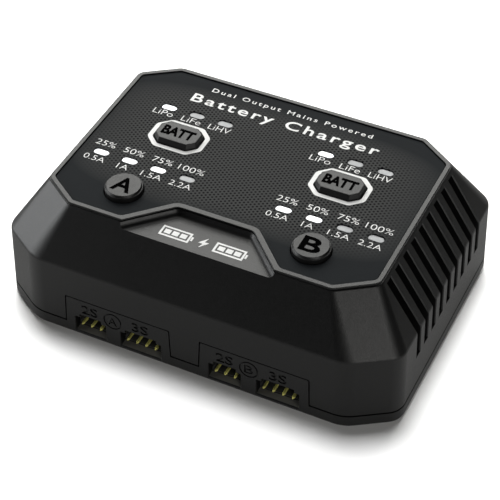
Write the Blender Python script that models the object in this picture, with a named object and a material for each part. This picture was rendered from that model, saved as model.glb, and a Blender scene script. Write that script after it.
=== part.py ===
"""Mains powered two channel balance charger for the batteries of remote control models.

Run with: blender --background --python part.py
X runs from channel A to channel B, -Y is the front with the balance sockets, +Z is up,
and the rubber feet stand on Z = 0. Sizes below are in millimetres; the scene is in metres.
"""

from math import asin, cos, pi, radians, sin, tan

import bmesh
import bpy
from mathutils import Vector

MM = 0.001
GAP = 0.3

# Outer case: octagons (half x, half y, corner leg x, corner leg y) at three heights.
FOOT_PROUD = 0.8
BASE_Z, SEAM_Z, BELT_Z, SHOULDER_Z = FOOT_PROUD, 4.2, 21.5, 35.0
BASE = (52.1, 36.9, 11.3, 7.35)
BELT = (51.45, 36.35, 11.1, 7.2)
SHOULDER = (42.65, 28.95, 9.1, 6.3)
CORNER_RADIUS = 3.0
CORNER_STEPS = 3
WALL = 2.2
FLOOR_TOP = 2.6
CEILING_Z = 31.9

# Raised rim round the top panel, and the recess in its front edge.
RIM = (42.5, 28.8, 9.1, 6.3)
RIM_TOP = 35.45
RIM_WIDTH = 1.15
POCKET_Z = 34.05
PANEL_BOTTOM, PANEL_TOP = 34.35, 35.15
NOTCH_BACK_Y, NOTCH_HALF_X = -19.25, 9.8
NOTCH_FLOOR_Z = 33.5
NOTCH_RIM = 1.45
NOTCH_SLOPE_IN = 1.1
NOTCH_RADIUS = 2.2

# Side vents.
VENT_COUNT, VENT_PITCH, VENT_WIDTH = 9, 4.82, 2.2
VENT_LOW_Z, VENT_HIGH_Z, VENT_DEPTH = 13.5, 34.05, 3.3

# Top panel layout, repeated for channel A (side -1) and channel B (side +1).
SIDES = (("a", -1), ("b", 1))
LEVEL_X, LEVEL_Y, LEVEL_COUNT = 24.25, -9.0, 4
CHEMISTRY_X, CHEMISTRY_Y, CHEMISTRY_COUNT = 21.3, 13.4, 3
LED_PITCH = 7.76
LED_HOLE = (4.1, 2.0)
LED_LENS = (3.6, 1.6)
LENS_TOP = 34.85
BATT_X, BATT_Y = 21.45, 3.78
BATT_HOLE = (6.1, 4.15, 2.25, 2.1)
ROUND_X, ROUND_Y = 24.15, -19.05
ROUND_HOLE_R = 4.85
BATT_TOP, ROUND_TOP = 36.55, 36.75
FLANGE_BOTTOM, FLANGE_TOP = 30.9, 31.6
STEM_BOTTOM = 29.0

# Balance sockets: (name, x from the channel's centre, ways).
CHANNEL_X = 18.0
SOCKETS = (("2s", -7.5, 3), ("3s", 6.2, 4))
PIN_PITCH = 2.5
PIN_SIZE = 0.64
PIN_Z = 4.25
WINDOW_EXTRA = 3.4
WINDOW_LOW, WINDOW_STEP, WINDOW_HIGH = 2.05, 6.6, 7.6
WINDOW_SHOULDER = 1.3
SOCKET_FRONT, SOCKET_BACK = -34.35, -26.5
SOCKET_LOW, SOCKET_HIGH, SOCKET_WALL = 1.85, 8.2, 0.75
CAVITY_LOW, CAVITY_BACK = 2.3, -28.5
PIN_TIP, PIN_LEG = -36.45, -25.2
LIP_HEIGHT, LIP_THICK = 2.6, 1.2
TONGUE_HALF, TONGUE_HALF_TOP, TONGUE_TOP, TONGUE_RADIUS = 14.3, 13.8, 12.3, 0.35
TONGUE_DEPTH = (-45.0, -30.0)

# Boards: (half x, front y, back y, bottom z, top z), and the posts that hold them.
MAIN_BOARD = (38.0, -32.8, 32.0, 8.5, 10.1)
MAIN_BOTTOM, MAIN_TOP = MAIN_BOARD[3:]
CONTROL_BOARD = (38.0, -24.0, 22.0, 22.5, 24.1)
CONTROL_BOTTOM, CONTROL_TOP = CONTROL_BOARD[3:]
POST_R, STUD_R, STUD_HOLE_R = 2.5, 1.0, 1.3
MAIN_POSTS = ((-35.3, -20.0), (35.3, -20.0), (-35.3, 18.0), (35.3, 18.0))
CONTROL_POSTS = ((-35.3, -15.8), (35.3, -15.8), (-35.3, 18.5), (35.3, 18.5))

# Parts soldered to the boards: (x, y, half x, half y, height) above the board, and light packages.
MAIN_CHIPS = (
    (-15.0, -18.0, 6.0, 6.0, 5.0),
    (17.0, -18.0, 6.0, 6.0, 5.0),
    (0.0, -27.0, 3.6, 3.6, 1.4),
    (-12.0, -8.5, 2.0, 1.6, 2.5),
    (31.0, -27.0, 2.6, 1.6, 1.2),
    (-31.0, -27.0, 2.6, 1.6, 1.2),
)
CONTROL_CHIP = (0.0, 3.0, 5.0, 5.0, 1.4)
LIGHT_PACKAGE = (1.6, 0.8, 0.8)

# Power parts, standing or lying on the main board.
DECK = MAIN_TOP + GAP
TRANSFORMER = (9.0, 6.0, 15.8)
CORE_HALF, CORE_WINDOW, CORE_LEG = (10.0, 10.0, 3.0), (5.0, 14.0), 2.5
COIL_HALF, COIL_LENGTH, COIL_RADIUS = (7.2, 5.2), 13.4, 1.2
MAINS_CAPACITOR_X, MAINS_CAPACITOR_R = -28.0, 5.2
OUTPUT_CAPACITOR_X, OUTPUT_CAPACITOR_Y, OUTPUT_CAPACITOR_R, OUTPUT_CAPACITOR_H = 2.0, -15.0, 4.0, 11.0
SINK_X, SINK_Y, SINK_THICK, SINK_HEIGHT = (25.5, 35.0), (-8.0, 13.8), 2.5, 11.0
FIN_COUNT, FIN_PITCH, FIN_THICK = 6, 4.1, 1.3
TRANSISTOR_LOW, TRANSISTOR_HIGH = (20.8, -2.0, DECK + 0.8), (25.2, 8.0, DECK + 10.0)
CHOKE_CENTRE, CHOKE_RING_R, CHOKE_TUBE_R = (-30.0, 11.8, DECK + 2.8), 4.6, 2.7
CHOKE_TURNS = 9
FUSE_X, FUSE_Y, FUSE_Z = -17.5, -4.0, DECK + 2.6
LINK_LOW, LINK_HIGH = (-6.2, -21.9, DECK), (6.2, -19.4, CONTROL_BOTTOM - GAP)

# Mains inlet.
INLET_X, INLET_Z = -22.0, 11.8
INLET_HALF_X, INLET_HALF_Z = 10.1, 5.4
INLET_FRONT, INLET_BACK, INLET_FLOOR = 36.2, 20.5, 24.0
INLET_PIN_X, INLET_PIN_R = 4.3, 1.2
INLET_LOBE_R, INLET_WAIST = 4.2, 3.2

# Fasteners and feet.
SCREW_X, SCREW_Y = 41.5, 12.05
SCREW_HEAD_R, SCREW_R, SCREW_CROSS = 2.5, 1.3, ((1.5, 0.35), (0.35, 1.5))
FOOT_X, FOOT_Y, FOOT_R = 41.5, 26.5, 5.0
FOUR = ((-1, -1), (1, -1), (1, 1), (-1, 1))

# Shape helpers. A shape is (points in mm, faces); several of them make one object.


def clear_scene():
    for item in list(bpy.data.objects):
        bpy.data.objects.remove(item, do_unlink=True)


def material(name, colour, roughness, metallic=0.0):
    made = bpy.data.materials.new(name)
    made.use_nodes = True
    shader = made.node_tree.nodes["Principled BSDF"]
    shader.inputs["Base Color"].default_value = (*colour, 1.0)
    shader.inputs["Roughness"].default_value = roughness
    shader.inputs["Metallic"].default_value = metallic
    return made


def make(name, shapes, finish=None):
    """One object from a list of shapes, with every closed piece facing outwards."""
    bm = bmesh.new()
    for points, faces in shapes:
        corners = [bm.verts.new(Vector(point) * MM) for point in points]
        for face in faces:
            bm.faces.new([corners[index] for index in face])
    bmesh.ops.recalc_face_normals(bm, faces=bm.faces)
    mesh = bpy.data.meshes.new(name)
    bm.to_mesh(mesh)
    bm.free()
    made = bpy.data.objects.new(name, mesh)
    bpy.context.scene.collection.objects.link(made)
    if finish:
        mesh.materials.append(finish)
    return made


def combine(target, shapes, operation):
    """A Boolean with a hidden helper object made of the shapes, which may overlap."""
    helper = make(f"{target.name}_{operation.lower()}_{len(target.modifiers)}", shapes)
    helper.hide_render = True
    helper.display_type = "WIRE"
    step = target.modifiers.new(operation.title(), "BOOLEAN")
    step.operation = operation
    step.solver = "EXACT"
    step.use_self = len(shapes) > 1
    step.object = helper


def cut(target, *shapes):
    combine(target, list(shapes), "DIFFERENCE")


def add(target, *shapes):
    combine(target, list(shapes), "UNION")


def loft(rings):
    """A closed solid through rings of points, which all have the same count."""
    count = len(rings[0])
    points = [point for ring in rings for point in ring]
    faces = [tuple(range(count)), tuple(range(len(points) - count, len(points)))]
    for start in range(0, len(points) - count, count):
        for index in range(count):
            low, high = start + index, start + (index + 1) % count
            faces.append((low, high, high + count, low + count))
    return points, faces


def at_height(outline, z):
    return [(x, y, z) for x, y in outline]


def prism(outline, low, high):
    return loft([at_height(outline, low), at_height(outline, high)])


def prism_along_x(outline, low, high):
    return loft([[(x, y, z) for y, z in outline] for x in (low, high)])


def prism_along_y(outline, low, high):
    return loft([[(x, y, z) for x, z in outline] for y in (low, high)])


def box(low, high):
    outline = [(low[0], low[1]), (high[0], low[1]), (high[0], high[1]), (low[0], high[1])]
    return prism(outline, low[2], high[2])


def circle(x, y, radius, count):
    angles = [2 * pi * k / count for k in range(count)]
    return [(x + radius * cos(angle), y + radius * sin(angle)) for angle in angles]


def turned(x, y, profile, count=24):
    """A solid of revolution about a vertical line through (x, y), from (radius, z) pairs."""
    return loft([at_height(circle(x, y, radius, count), z) for radius, z in profile])


def octagon(half_x, half_y, leg_x, leg_y):
    return [
        (half_x, half_y - leg_y),
        (half_x - leg_x, half_y),
        (leg_x - half_x, half_y),
        (-half_x, half_y - leg_y),
        (-half_x, leg_y - half_y),
        (leg_x - half_x, -half_y),
        (half_x - leg_x, -half_y),
        (half_x, leg_y - half_y),
    ]


def inset(outline, distance):
    """The anticlockwise outline moved inwards by the distance, corner for corner."""
    moved = []
    for index, corner in enumerate(outline):
        here = Vector(corner)
        before = (here - Vector(outline[index - 1])).normalized()
        after = (Vector(outline[(index + 1) % len(outline)]) - here).normalized()
        left = Vector((-before.y - after.y, before.x + after.x)).normalized()
        half_angle_cos = left.dot(Vector((-before.y, before.x)))
        moved.append(tuple(here + left * distance / half_angle_cos))
    return moved


def rounded(outline, radii, steps=CORNER_STEPS):
    """The outline with an arc of steps + 1 points at each corner."""
    points = []
    for index, corner in enumerate(outline):
        here = Vector(corner)
        radius = radii[index] if isinstance(radii, (list, tuple)) else radii
        to_before = (Vector(outline[index - 1]) - here).normalized()
        to_after = (Vector(outline[(index + 1) % len(outline)]) - here).normalized()
        half = to_before.angle(to_after) / 2
        centre = here + (to_before + to_after).normalized() * radius / sin(half)
        start = here + to_before * radius / tan(half) - centre
        sweep = start.angle_signed(here + to_after * radius / tan(half) - centre)
        for step in range(steps + 1):
            angle = -sweep * step / steps
            spoke_x = start.x * cos(angle) - start.y * sin(angle)
            spoke_y = start.x * sin(angle) + start.y * cos(angle)
            points.append((centre.x + spoke_x, centre.y + spoke_y))
    return points


def pill(x, y, length, width, steps=5):
    """A slot outline with round ends."""
    radius = width / 2
    points = []
    for side in (1, -1):
        centre_x = x + side * (length / 2 - radius)
        for step in range(steps + 1):
            angle = side * (pi * step / steps - pi / 2)
            points.append((centre_x + side * radius * cos(angle), y + radius * sin(angle)))
    return points


def moved(outline, x, y):
    return [(px + x, py + y) for px, py in outline]


# Case outlines.


def case_outline(z, distance=0.0):
    """The rounded octagon of the case's outside at height z, moved in by the distance."""
    if z <= BELT_Z:
        low, high, low_z, high_z = BASE, BELT, BASE_Z, BELT_Z
    else:
        low, high, low_z, high_z = BELT, SHOULDER, BELT_Z, SHOULDER_Z
    share = (z - low_z) / (high_z - low_z)
    sizes = [a + (b - a) * share for a, b in zip(low, high)]
    return rounded(inset(octagon(*sizes), distance), max(CORNER_RADIUS - distance, 0.6))


def case_rings(levels):
    return [at_height(case_outline(z, distance), z) for z, distance in levels]


def notch_outline(distance, front_y):
    """The recess in the front of the rim; the distance moves its edge outwards."""
    back_y = NOTCH_BACK_Y + distance
    half = NOTCH_HALF_X + distance * tan(radians(22.5))
    reach = back_y - front_y
    corners = [(half, back_y), (-half, back_y), (-half - reach, front_y), (half + reach, front_y)]
    radius = NOTCH_RADIUS + distance
    return rounded(corners, [radius, radius, 0.2, 0.2])


def panel_outline(distance):
    """The opening inside the rim, with the recess cut out of its front edge."""
    half_x, half_y, leg_x, leg_y = RIM
    ring = inset(octagon(half_x, half_y, leg_x, leg_y), RIM_WIDTH + distance)
    front_y = ring[5][1]
    edge = NOTCH_RIM + distance
    back_y = NOTCH_BACK_Y + edge
    half = NOTCH_HALF_X + edge * tan(radians(22.5))
    foot = half + back_y - front_y
    corners = ring[:6] + [(-foot, front_y), (-half, back_y), (half, back_y), (foot, front_y)] + ring[6:]
    outside, inside = 1.5 - distance / 2, NOTCH_RADIUS + edge
    radii = [outside] * 6 + [NOTCH_RADIUS, inside, inside, NOTCH_RADIUS] + [outside] * 2
    return rounded(corners, radii)


def led_places(side):
    """Centres of the light windows of one channel: the level row, then the chemistry row."""
    level = [(side * LEVEL_X + (k - 1.5) * LED_PITCH, LEVEL_Y) for k in range(LEVEL_COUNT)]
    chemistry = [(side * CHEMISTRY_X + (k - 1) * LED_PITCH, CHEMISTRY_Y) for k in range(CHEMISTRY_COUNT)]
    return level, chemistry


def top_holes(extra, low, high):
    """Every opening for a window or a button, in the panel and in the case below it."""
    holes = []
    for _, side in SIDES:
        level, chemistry = led_places(side)
        size = (LED_HOLE[0] + extra, LED_HOLE[1] + extra)
        holes += [prism(pill(x, y, *size), low, high) for x, y in level + chemistry]
        batt = rounded(inset(octagon(*BATT_HOLE), -extra / 2), 0.8, 2)
        holes.append(prism(moved(batt, side * BATT_X, BATT_Y), low, high))
        holes.append(prism(circle(side * ROUND_X, ROUND_Y, ROUND_HOLE_R + extra / 2, 32), low, high))
    return holes


def tongue_outline(clearance):
    """A tongue of the lower case in the front wall, as (x, z) about the channel's centre."""
    foot, head, top = TONGUE_HALF + clearance, TONGUE_HALF_TOP + clearance, TONGUE_TOP + clearance
    corners = [(-foot, 0), (foot, 0), (head, top), (-head, top)]
    return rounded(corners, [0.2, 0.2, TONGUE_RADIUS, TONGUE_RADIUS])


def tongues(clearance):
    """The two front tongues and the rear one under the mains inlet."""
    outline = tongue_outline(clearance)
    shapes = [prism_along_y(moved(outline, side * CHANNEL_X, 0), *TONGUE_DEPTH) for _, side in SIDES]
    half = INLET_HALF_X + GAP + clearance
    shapes.append(box((INLET_X - half, 30.0, 0.0), (INLET_X + half, 45.0, INLET_Z - INLET_HALF_Z - GAP)))
    return shapes


def staked_post(x, y, base, board_side, far_side):
    """A post that a board rests on, with its melted head on the board's far side."""
    up = 1 if far_side > board_side else -1
    profile = [
        (POST_R, base),
        (POST_R, board_side - up * GAP),
        (STUD_R, board_side - up * GAP),
        (STUD_R, far_side + up * GAP),
        (STUD_R + 0.7, far_side + up * GAP),
        (STUD_R + 0.3, far_side + up * (GAP + 0.8)),
    ]
    return turned(x, y, profile, 12)


def at_screws(profile, count):
    """The same turned shape at all four screws."""
    return [turned(x * SCREW_X, y * SCREW_Y, profile, count) for x, y in FOUR]


# Case.


def build_upper_case(finish):
    levels = [(BASE_Z, 0), (BELT_Z, 0), (SHOULDER_Z, 0)]
    rim = rounded(octagon(*RIM), CORNER_RADIUS)
    rings = case_rings(levels)
    rings += [at_height(rim, SHOULDER_Z + 0.05), at_height(rim, RIM_TOP)]
    case = make("upper_case", [loft(rings)], finish)
    cut(case, loft(case_rings([(BASE_Z, WALL), (BELT_Z - 0.7, WALL), (CEILING_Z, WALL + 0.5)])))
    posts = at_screws([(2.9, 6.6), (2.9, CEILING_Z + 0.1)], 20)
    posts += [staked_post(x, y, CEILING_Z + 0.4, CONTROL_TOP, CONTROL_BOTTOM) for x, y in CONTROL_POSTS]
    add(case, *posts)
    cut(case, box((-60, -45, -1), (60, 45, SEAM_Z + GAP / 2)))
    cut(case, *tongues(GAP))
    half = INLET_HALF_X + GAP
    cut(case, box((INLET_X - half, 30.0, 3.0), (INLET_X + half, 45.0, INLET_Z + INLET_HALF_Z + GAP)))
    cut(case, *at_screws([(1.45, 5.0), (1.45, 15.5)], 16))
    cut(case, prism(panel_outline(0.0), POCKET_Z, 40.0))
    cut(case, notch_cutter())
    cut(case, *top_holes(0.5, 28.0, POCKET_Z + 1.0))
    cut(case, *vent_cutters())


def notch_cutter():
    """The recess: a step below the rim, then a wall sloping to its flat floor."""
    levels = [
        (NOTCH_FLOOR_Z, -NOTCH_SLOPE_IN),
        (RIM_TOP - 1.0, -0.55),
        (RIM_TOP - 0.55, -0.45),
        (RIM_TOP - 0.5, 0.0),
        (40.0, 0.0),
    ]
    return loft([at_height(notch_outline(distance, -33.0), z) for z, distance in levels])


def vent_cutters():
    """Slots that follow the sloping side and the wall below it."""
    run, rise = BELT[0] - SHOULDER[0], SHOULDER_Z - BELT_Z
    length = (run**2 + rise**2) ** 0.5
    inward = (-rise / length, -run / length)
    top_x = SHOULDER[0] + run * (SHOULDER_Z - VENT_HIGH_Z) / rise
    outline = [
        (62.0, VENT_LOW_Z),
        (62.0, VENT_HIGH_Z + 2.0),
        (top_x - inward[0] * 2.0, VENT_HIGH_Z - inward[1] * 2.0),
        (top_x + inward[0] * VENT_DEPTH, VENT_HIGH_Z + inward[1] * VENT_DEPTH),
        (BELT[0] - VENT_DEPTH, BELT_Z - 1.0),
        (BELT[0] - VENT_DEPTH, VENT_LOW_Z),
    ]
    shapes = []
    for side in (-1, 1):
        for k in range(VENT_COUNT):
            front = (k - (VENT_COUNT - 1) / 2) * VENT_PITCH - VENT_WIDTH / 2
            mirrored = [(side * x, z) for x, z in outline]
            shapes.append(prism_along_y(mirrored, front, front + VENT_WIDTH))
    return shapes


def socket_places():
    """(name, centre x, ways) of the four balance sockets."""
    return [
        (f"{channel}_{name}", side * CHANNEL_X + offset, ways)
        for channel, side in SIDES
        for name, offset, ways in SOCKETS
    ]


def window_half(ways):
    """Half the width of a balance socket's opening."""
    return ((ways - 1) * PIN_PITCH + WINDOW_EXTRA) / 2


def window_outline(ways, low):
    """The stepped opening of a balance socket from height low upwards, as (x, z) about its centre."""
    wide = window_half(ways)
    narrow = wide - WINDOW_SHOULDER
    right = [(wide, low), (wide, WINDOW_STEP), (narrow, WINDOW_STEP), (narrow, WINDOW_HIGH)]
    return right + [(-x, z) for x, z in reversed(right)]


def pin_places(x, ways):
    """X of each pin of a balance socket centred on x."""
    return [x + (k - (ways - 1) / 2) * PIN_PITCH for k in range(ways)]


def build_lower_case(finish):
    case = make("lower_case", [loft(case_rings([(BASE_Z, 0.8), (BASE_Z + 0.8, 0), (14.0, 0)]))], finish)
    cut(case, loft(case_rings([(FLOOR_TOP, WALL), (15.0, WALL)])))
    above = make("above_seam", [box((-60, -45, SEAM_Z - GAP / 2), (60, 45, 20))])
    above.hide_render = True
    cut(above, *tongues(0.0))
    step = case.modifiers.new("Above seam", "BOOLEAN")
    step.object = above
    add(case, *lip_segments())
    shapes = at_screws([(4.2, 1.5), (4.2, 6.3)], 20)
    shapes += [staked_post(x, y, 2.0, MAIN_BOTTOM, MAIN_TOP) for x, y in MAIN_POSTS]
    shapes.append(box((INLET_X - 8, 22.0, 2.0), (INLET_X + 8, 30.0, INLET_Z - INLET_HALF_Z - GAP)))
    add(case, *shapes)
    cut(case, *at_screws([(2.9, 0), (2.9, 3.3), (1.5, 3.3), (1.5, 8)], 16))
    seat = [(FOOT_R + GAP, 0.0), (FOOT_R + GAP, 1.7)]
    cut(case, *[turned(x * FOOT_X, y * FOOT_Y, seat, 28) for x, y in FOUR])
    for _, x, ways in socket_places():
        cut(case, prism_along_y(moved(window_outline(ways, WINDOW_LOW), x, 0), -45, -34))
        half = window_half(ways) + SOCKET_WALL + GAP
        cut(case, box((x - half, SOCKET_FRONT - GAP, SOCKET_LOW - GAP), (x + half, SOCKET_BACK + GAP, 9.0)))


def lip_segments():
    """The locating lip inside the seam: one length on each side and two at the back."""
    top = SEAM_Z + LIP_HEIGHT
    side_x = BASE[0] - WALL - GAP - LIP_THICK
    back_y = BASE[1] - WALL - GAP - LIP_THICK
    shapes = [box((x, -22.0, 2.0), (x + LIP_THICK, 22.0, top)) for x in (side_x, -side_x - LIP_THICK)]
    shapes += [box((x, back_y, 2.0), (x + 14.0, back_y + LIP_THICK, top)) for x in (0.0, 22.0)]
    return shapes


def build_panel(finish):
    panel = make("top_panel", [prism(panel_outline(GAP / 2), PANEL_BOTTOM, PANEL_TOP)], finish)
    cut(panel, *top_holes(0.0, 30.0, 40.0))


def build_feet_and_screws(rubber, steel):
    for number, (x, y) in enumerate(FOUR, 1):
        foot = [(FOOT_R - 0.5, 0.0), (FOOT_R, 0.5), (FOOT_R, 1.4)]
        make(f"rubber_foot_{number}", [turned(x * FOOT_X, y * FOOT_Y, foot, 28)], rubber)
        centre_x, centre_y = x * SCREW_X, y * SCREW_Y
        screw = [(SCREW_HEAD_R - 0.4, 1.3), (SCREW_HEAD_R, 1.6), (SCREW_HEAD_R, 3.0)]
        screw += [(SCREW_R, 3.0), (SCREW_R, 13.5), (0.5, 14.6)]
        made = make(f"case_screw_{number}", [turned(centre_x, centre_y, screw, 16)], steel)
        for half_x, half_y in SCREW_CROSS:
            low = (centre_x - half_x, centre_y - half_y, 0.5)
            cut(made, box(low, (centre_x + half_x, centre_y + half_y, 2.3)))


# Controls.


def batt_rings(outline_sizes):
    return [at_height(rounded(octagon(*sizes), sizes[2] * 0.2, 2), z) for sizes, z in outline_sizes]


def build_controls(grey, clear, black, switch_metal):
    """Buttons, their switches and the light pipes; what moves has its origin on its axis."""
    for channel, side in SIDES:
        build_batt_button(f"batt_button_{channel}", side * BATT_X, BATT_Y, grey)
        build_round_button(f"channel_button_{channel}", side * ROUND_X, ROUND_Y, grey)
        for kind, x, y in (("batt", side * BATT_X, BATT_Y), ("channel", side * ROUND_X, ROUND_Y)):
            build_switch(f"{kind}_switch_{channel}", f"{kind}_plunger_{channel}", x, y, black, switch_metal)
        level, chemistry = led_places(side)
        build_light_pipe(f"level_light_pipe_{channel}", level, clear)
        build_light_pipe(f"chemistry_light_pipe_{channel}", chemistry, clear)


def place(made, x, y):
    made.location = (x * MM, y * MM, 0.0)


def build_batt_button(name, x, y, finish):
    stem, flange = (1.8, 1.8, 0.9, 0.9), (7.3, 5.2, 3.1, 3.1)
    body, top, edge = (5.8, 3.88, 2.0, 1.9), (5.5, 3.4, 1.7, 1.7), (5.3, 3.2, 1.6, 1.6)
    rings = [(stem, STEM_BOTTOM), (stem, FLANGE_BOTTOM), (flange, FLANGE_BOTTOM), (flange, FLANGE_TOP)]
    rings += [(body, FLANGE_TOP), (body, PANEL_TOP + 0.25), (top, BATT_TOP - 0.15), (edge, BATT_TOP)]
    place(make(name, [loft(batt_rings(rings))], finish), x, y)


def build_round_button(name, x, y, finish):
    profile = [(1.75, STEM_BOTTOM), (1.75, FLANGE_BOTTOM), (5.75, FLANGE_BOTTOM), (5.75, FLANGE_TOP)]
    profile += [(4.55, FLANGE_TOP), (4.55, ROUND_TOP - 0.6), (4.35, ROUND_TOP - 0.55), (4.1, ROUND_TOP)]
    place(make(name, [turned(0, 0, profile, 32)], finish), x, y)


def build_switch(body_name, plunger_name, x, y, body_finish, plunger_finish):
    floor = CONTROL_TOP + GAP
    body = make(body_name, [box((x - 3, y - 3, floor), (x + 3, y + 3, floor + 3.5))], body_finish)
    cut(body, turned(x, y, [(1.8, floor + 2.0), (1.8, floor + 5.0)], 20))
    plunger = [(1.6, floor + 2.8), (1.6, STEM_BOTTOM - GAP - 0.2), (1.4, STEM_BOTTOM - GAP)]
    place(make(plunger_name, [turned(0, 0, plunger, 20)], plunger_finish), x, y)


def build_light_pipe(name, places, finish):
    """A bar under the case's ceiling with one leg and lens for each light."""
    (first_x, y), (last_x, _) = places[0], places[-1]
    bar = pill((first_x + last_x) / 2, y, last_x - first_x + 5.0, 2.6)
    made = make(name, [prism(bar, CEILING_Z - GAP - 1.3, CEILING_Z - GAP)], finish)
    add(made, *[prism(pill(x, y, *LED_LENS), 25.4, LENS_TOP) for x, _ in places])


# Sockets and inlet.


def build_sockets(nylon, brass):
    for name, x, ways in socket_places():
        half = window_half(ways) + SOCKET_WALL
        block = box((x - half, SOCKET_FRONT, SOCKET_LOW), (x + half, SOCKET_BACK, SOCKET_HIGH))
        body = make(f"balance_socket_{name}", [block], nylon)
        cut(body, prism_along_y(moved(window_outline(ways, CAVITY_LOW), x, 0), -45, CAVITY_BACK))
        pin_xs = pin_places(x, ways)
        reach = PIN_SIZE / 2 + 0.15
        low, high = PIN_Z - reach, PIN_Z + reach
        cut(body, *[box((px - reach, -30, low), (px + reach, -20, high)) for px in pin_xs])
        for number, px in enumerate(pin_xs, 1):
            make(f"balance_pin_{name}_{number}", [pin_shape(px)], brass)


def pin_shape(x):
    """A square pin with tapered ends, bent up behind the socket to pass through the main board."""
    half, point = PIN_SIZE / 2, 0.6
    top = MAIN_TOP + 1.4
    outline = [
        (PIN_TIP, PIN_Z - half / 2),
        (PIN_TIP + point, PIN_Z - half),
        (PIN_LEG + half, PIN_Z - half),
        (PIN_LEG + half, top - point),
        (PIN_LEG + half / 2, top),
        (PIN_LEG - half / 2, top),
        (PIN_LEG - half, top - point),
        (PIN_LEG - half, PIN_Z + half),
        (PIN_TIP + point, PIN_Z + half),
        (PIN_TIP, PIN_Z + half / 2),
    ]
    return prism_along_x(outline, x - half, x + half)


def inlet_outline():
    """Two round lobes joined by a narrower waist, as (x, z) about the inlet's centre."""
    waist_angle = pi - asin(INLET_WAIST / INLET_LOBE_R)
    points = []
    for side in (1, -1):
        for step in range(11):
            angle = waist_angle * (step / 5 - 1)
            x = INLET_PIN_X + INLET_LOBE_R * cos(angle)
            points.append((side * x, side * INLET_LOBE_R * sin(angle)))
    return points


def build_inlet(black, plated):
    low = (INLET_X - INLET_HALF_X, INLET_BACK, INLET_Z - INLET_HALF_Z)
    high = (INLET_X + INLET_HALF_X, INLET_FRONT, INLET_Z + INLET_HALF_Z)
    body = make("inlet_body", [box(low, high)], black)
    cut(body, prism_along_y(moved(inlet_outline(), INLET_X, INLET_Z), INLET_FLOOR, 40))
    for name, side in (("left", -1), ("right", 1)):
        x = INLET_X + side * INLET_PIN_X
        cut(body, prism_along_y(circle(x, INLET_Z, INLET_PIN_R + 0.15, 16), 15, 30))
        rings = [(INLET_PIN_R, 18.0), (INLET_PIN_R, 33.6), (0.8, 34.4)]
        pin = loft([[(px, y, pz) for px, pz in circle(x, INLET_Z, radius, 16)] for radius, y in rings])
        make(f"inlet_pin_{name}", [pin], plated)


# Electronics.


def board_shape(board):
    half_x, front, back, low, high = board
    return box((-half_x, front, low), (half_x, back, high))


def package(x, y, half_x, half_y, height, surface):
    """A part soldered to a board, sunk a little into it so that they are one piece."""
    return box((x - half_x, y - half_y, surface - 0.4), (x + half_x, y + half_y, surface + height))


def build_main_board(green):
    """The power board, with its small soldered parts as one piece with it."""
    board = make("main_board", [board_shape(MAIN_BOARD)], green)
    add(board, *[package(*chip, MAIN_TOP) for chip in MAIN_CHIPS])
    half = INLET_HALF_X + GAP
    cut(board, box((INLET_X - half, INLET_BACK - GAP, 5), (INLET_X + half, 40, 30)))
    cut(board, *[turned(x, y, [(STUD_HOLE_R, 5), (STUD_HOLE_R, 15)], 12) for x, y in MAIN_POSTS])
    reach = PIN_SIZE / 2 + 0.18
    holes = []
    for _, x, ways in socket_places():
        for px in pin_places(x, ways):
            holes.append(box((px - reach, PIN_LEG - reach, 5), (px + reach, PIN_LEG + reach, 15)))
    cut(board, *holes)


def build_control_board(green):
    """The control board, with its lights and microcontroller as one piece with it."""
    board = make("control_board", [board_shape(CONTROL_BOARD)], green)
    shapes = [package(*CONTROL_CHIP, CONTROL_TOP)]
    for _, side in SIDES:
        for row in led_places(side):
            shapes += [package(x, y, *LIGHT_PACKAGE, CONTROL_TOP) for x, y in row]
    add(board, *shapes)
    cut(board, *[turned(x, y, [(STUD_HOLE_R, 20), (STUD_HOLE_R, 30)], 12) for x, y in CONTROL_POSTS])


def build_transformer(ferrite, tape):
    """A flat ferrite core with two windows, and the coil round its middle leg."""
    x, y, z = TRANSFORMER
    half_x, half_y, half_z = CORE_HALF
    core_box = box((x - half_x, y - half_y, z - half_z), (x + half_x, y + half_y, z + half_z))
    core = make("transformer_core", [core_box], ferrite)
    wide, long = CORE_WINDOW
    for low in (-CORE_LEG - wide, CORE_LEG):
        cut(core, box((x + low, y - long / 2, z - 5), (x + low + wide, y + long / 2, z + 5)))
    coil_x, coil_z = COIL_HALF
    corners = [(coil_x, -coil_z), (coil_x, coil_z), (-coil_x, coil_z), (-coil_x, -coil_z)]
    outline = moved(rounded(corners, COIL_RADIUS), x, z)
    ends = (y - COIL_LENGTH / 2, y + COIL_LENGTH / 2)
    coil = make("transformer_coil", [prism_along_y(outline, *ends)], tape)
    leg_x, leg_z = CORE_LEG + GAP, half_z + GAP
    cut(coil, box((x - leg_x, y - 9, z - leg_z), (x + leg_x, y + 9, z + leg_z)))


def lying(x, y, z, profile, count):
    """A solid of revolution about a line along Y, from (radius, distance along it) pairs."""
    rings = [[(px, y + along, pz) for px, pz in circle(x, z, radius, count)] for radius, along in profile]
    return loft(rings)


def build_capacitors(sleeve):
    """The mains capacitor lies on its side, with a groove near its end; the output one stands."""
    radius = MAINS_CAPACITOR_R
    groove = radius - 0.5
    can = [(radius - 0.6, -16.0), (radius, -15.4), (radius, 0.6)]
    can += [(groove, 1.2), (radius, 1.8), (groove, 2.4)]
    make("mains_capacitor", [lying(MAINS_CAPACITOR_X, 0.0, DECK + radius, can, 24)], sleeve)
    radius, height = OUTPUT_CAPACITOR_R, OUTPUT_CAPACITOR_H
    can = [(radius - 0.2, 0.0), (radius, 0.3), (radius, height - 0.4), (radius - 0.3, height)]
    standing = [(r, DECK + z) for r, z in can]
    make("output_capacitor", [turned(OUTPUT_CAPACITOR_X, OUTPUT_CAPACITOR_Y, standing, 24)], sleeve)


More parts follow.
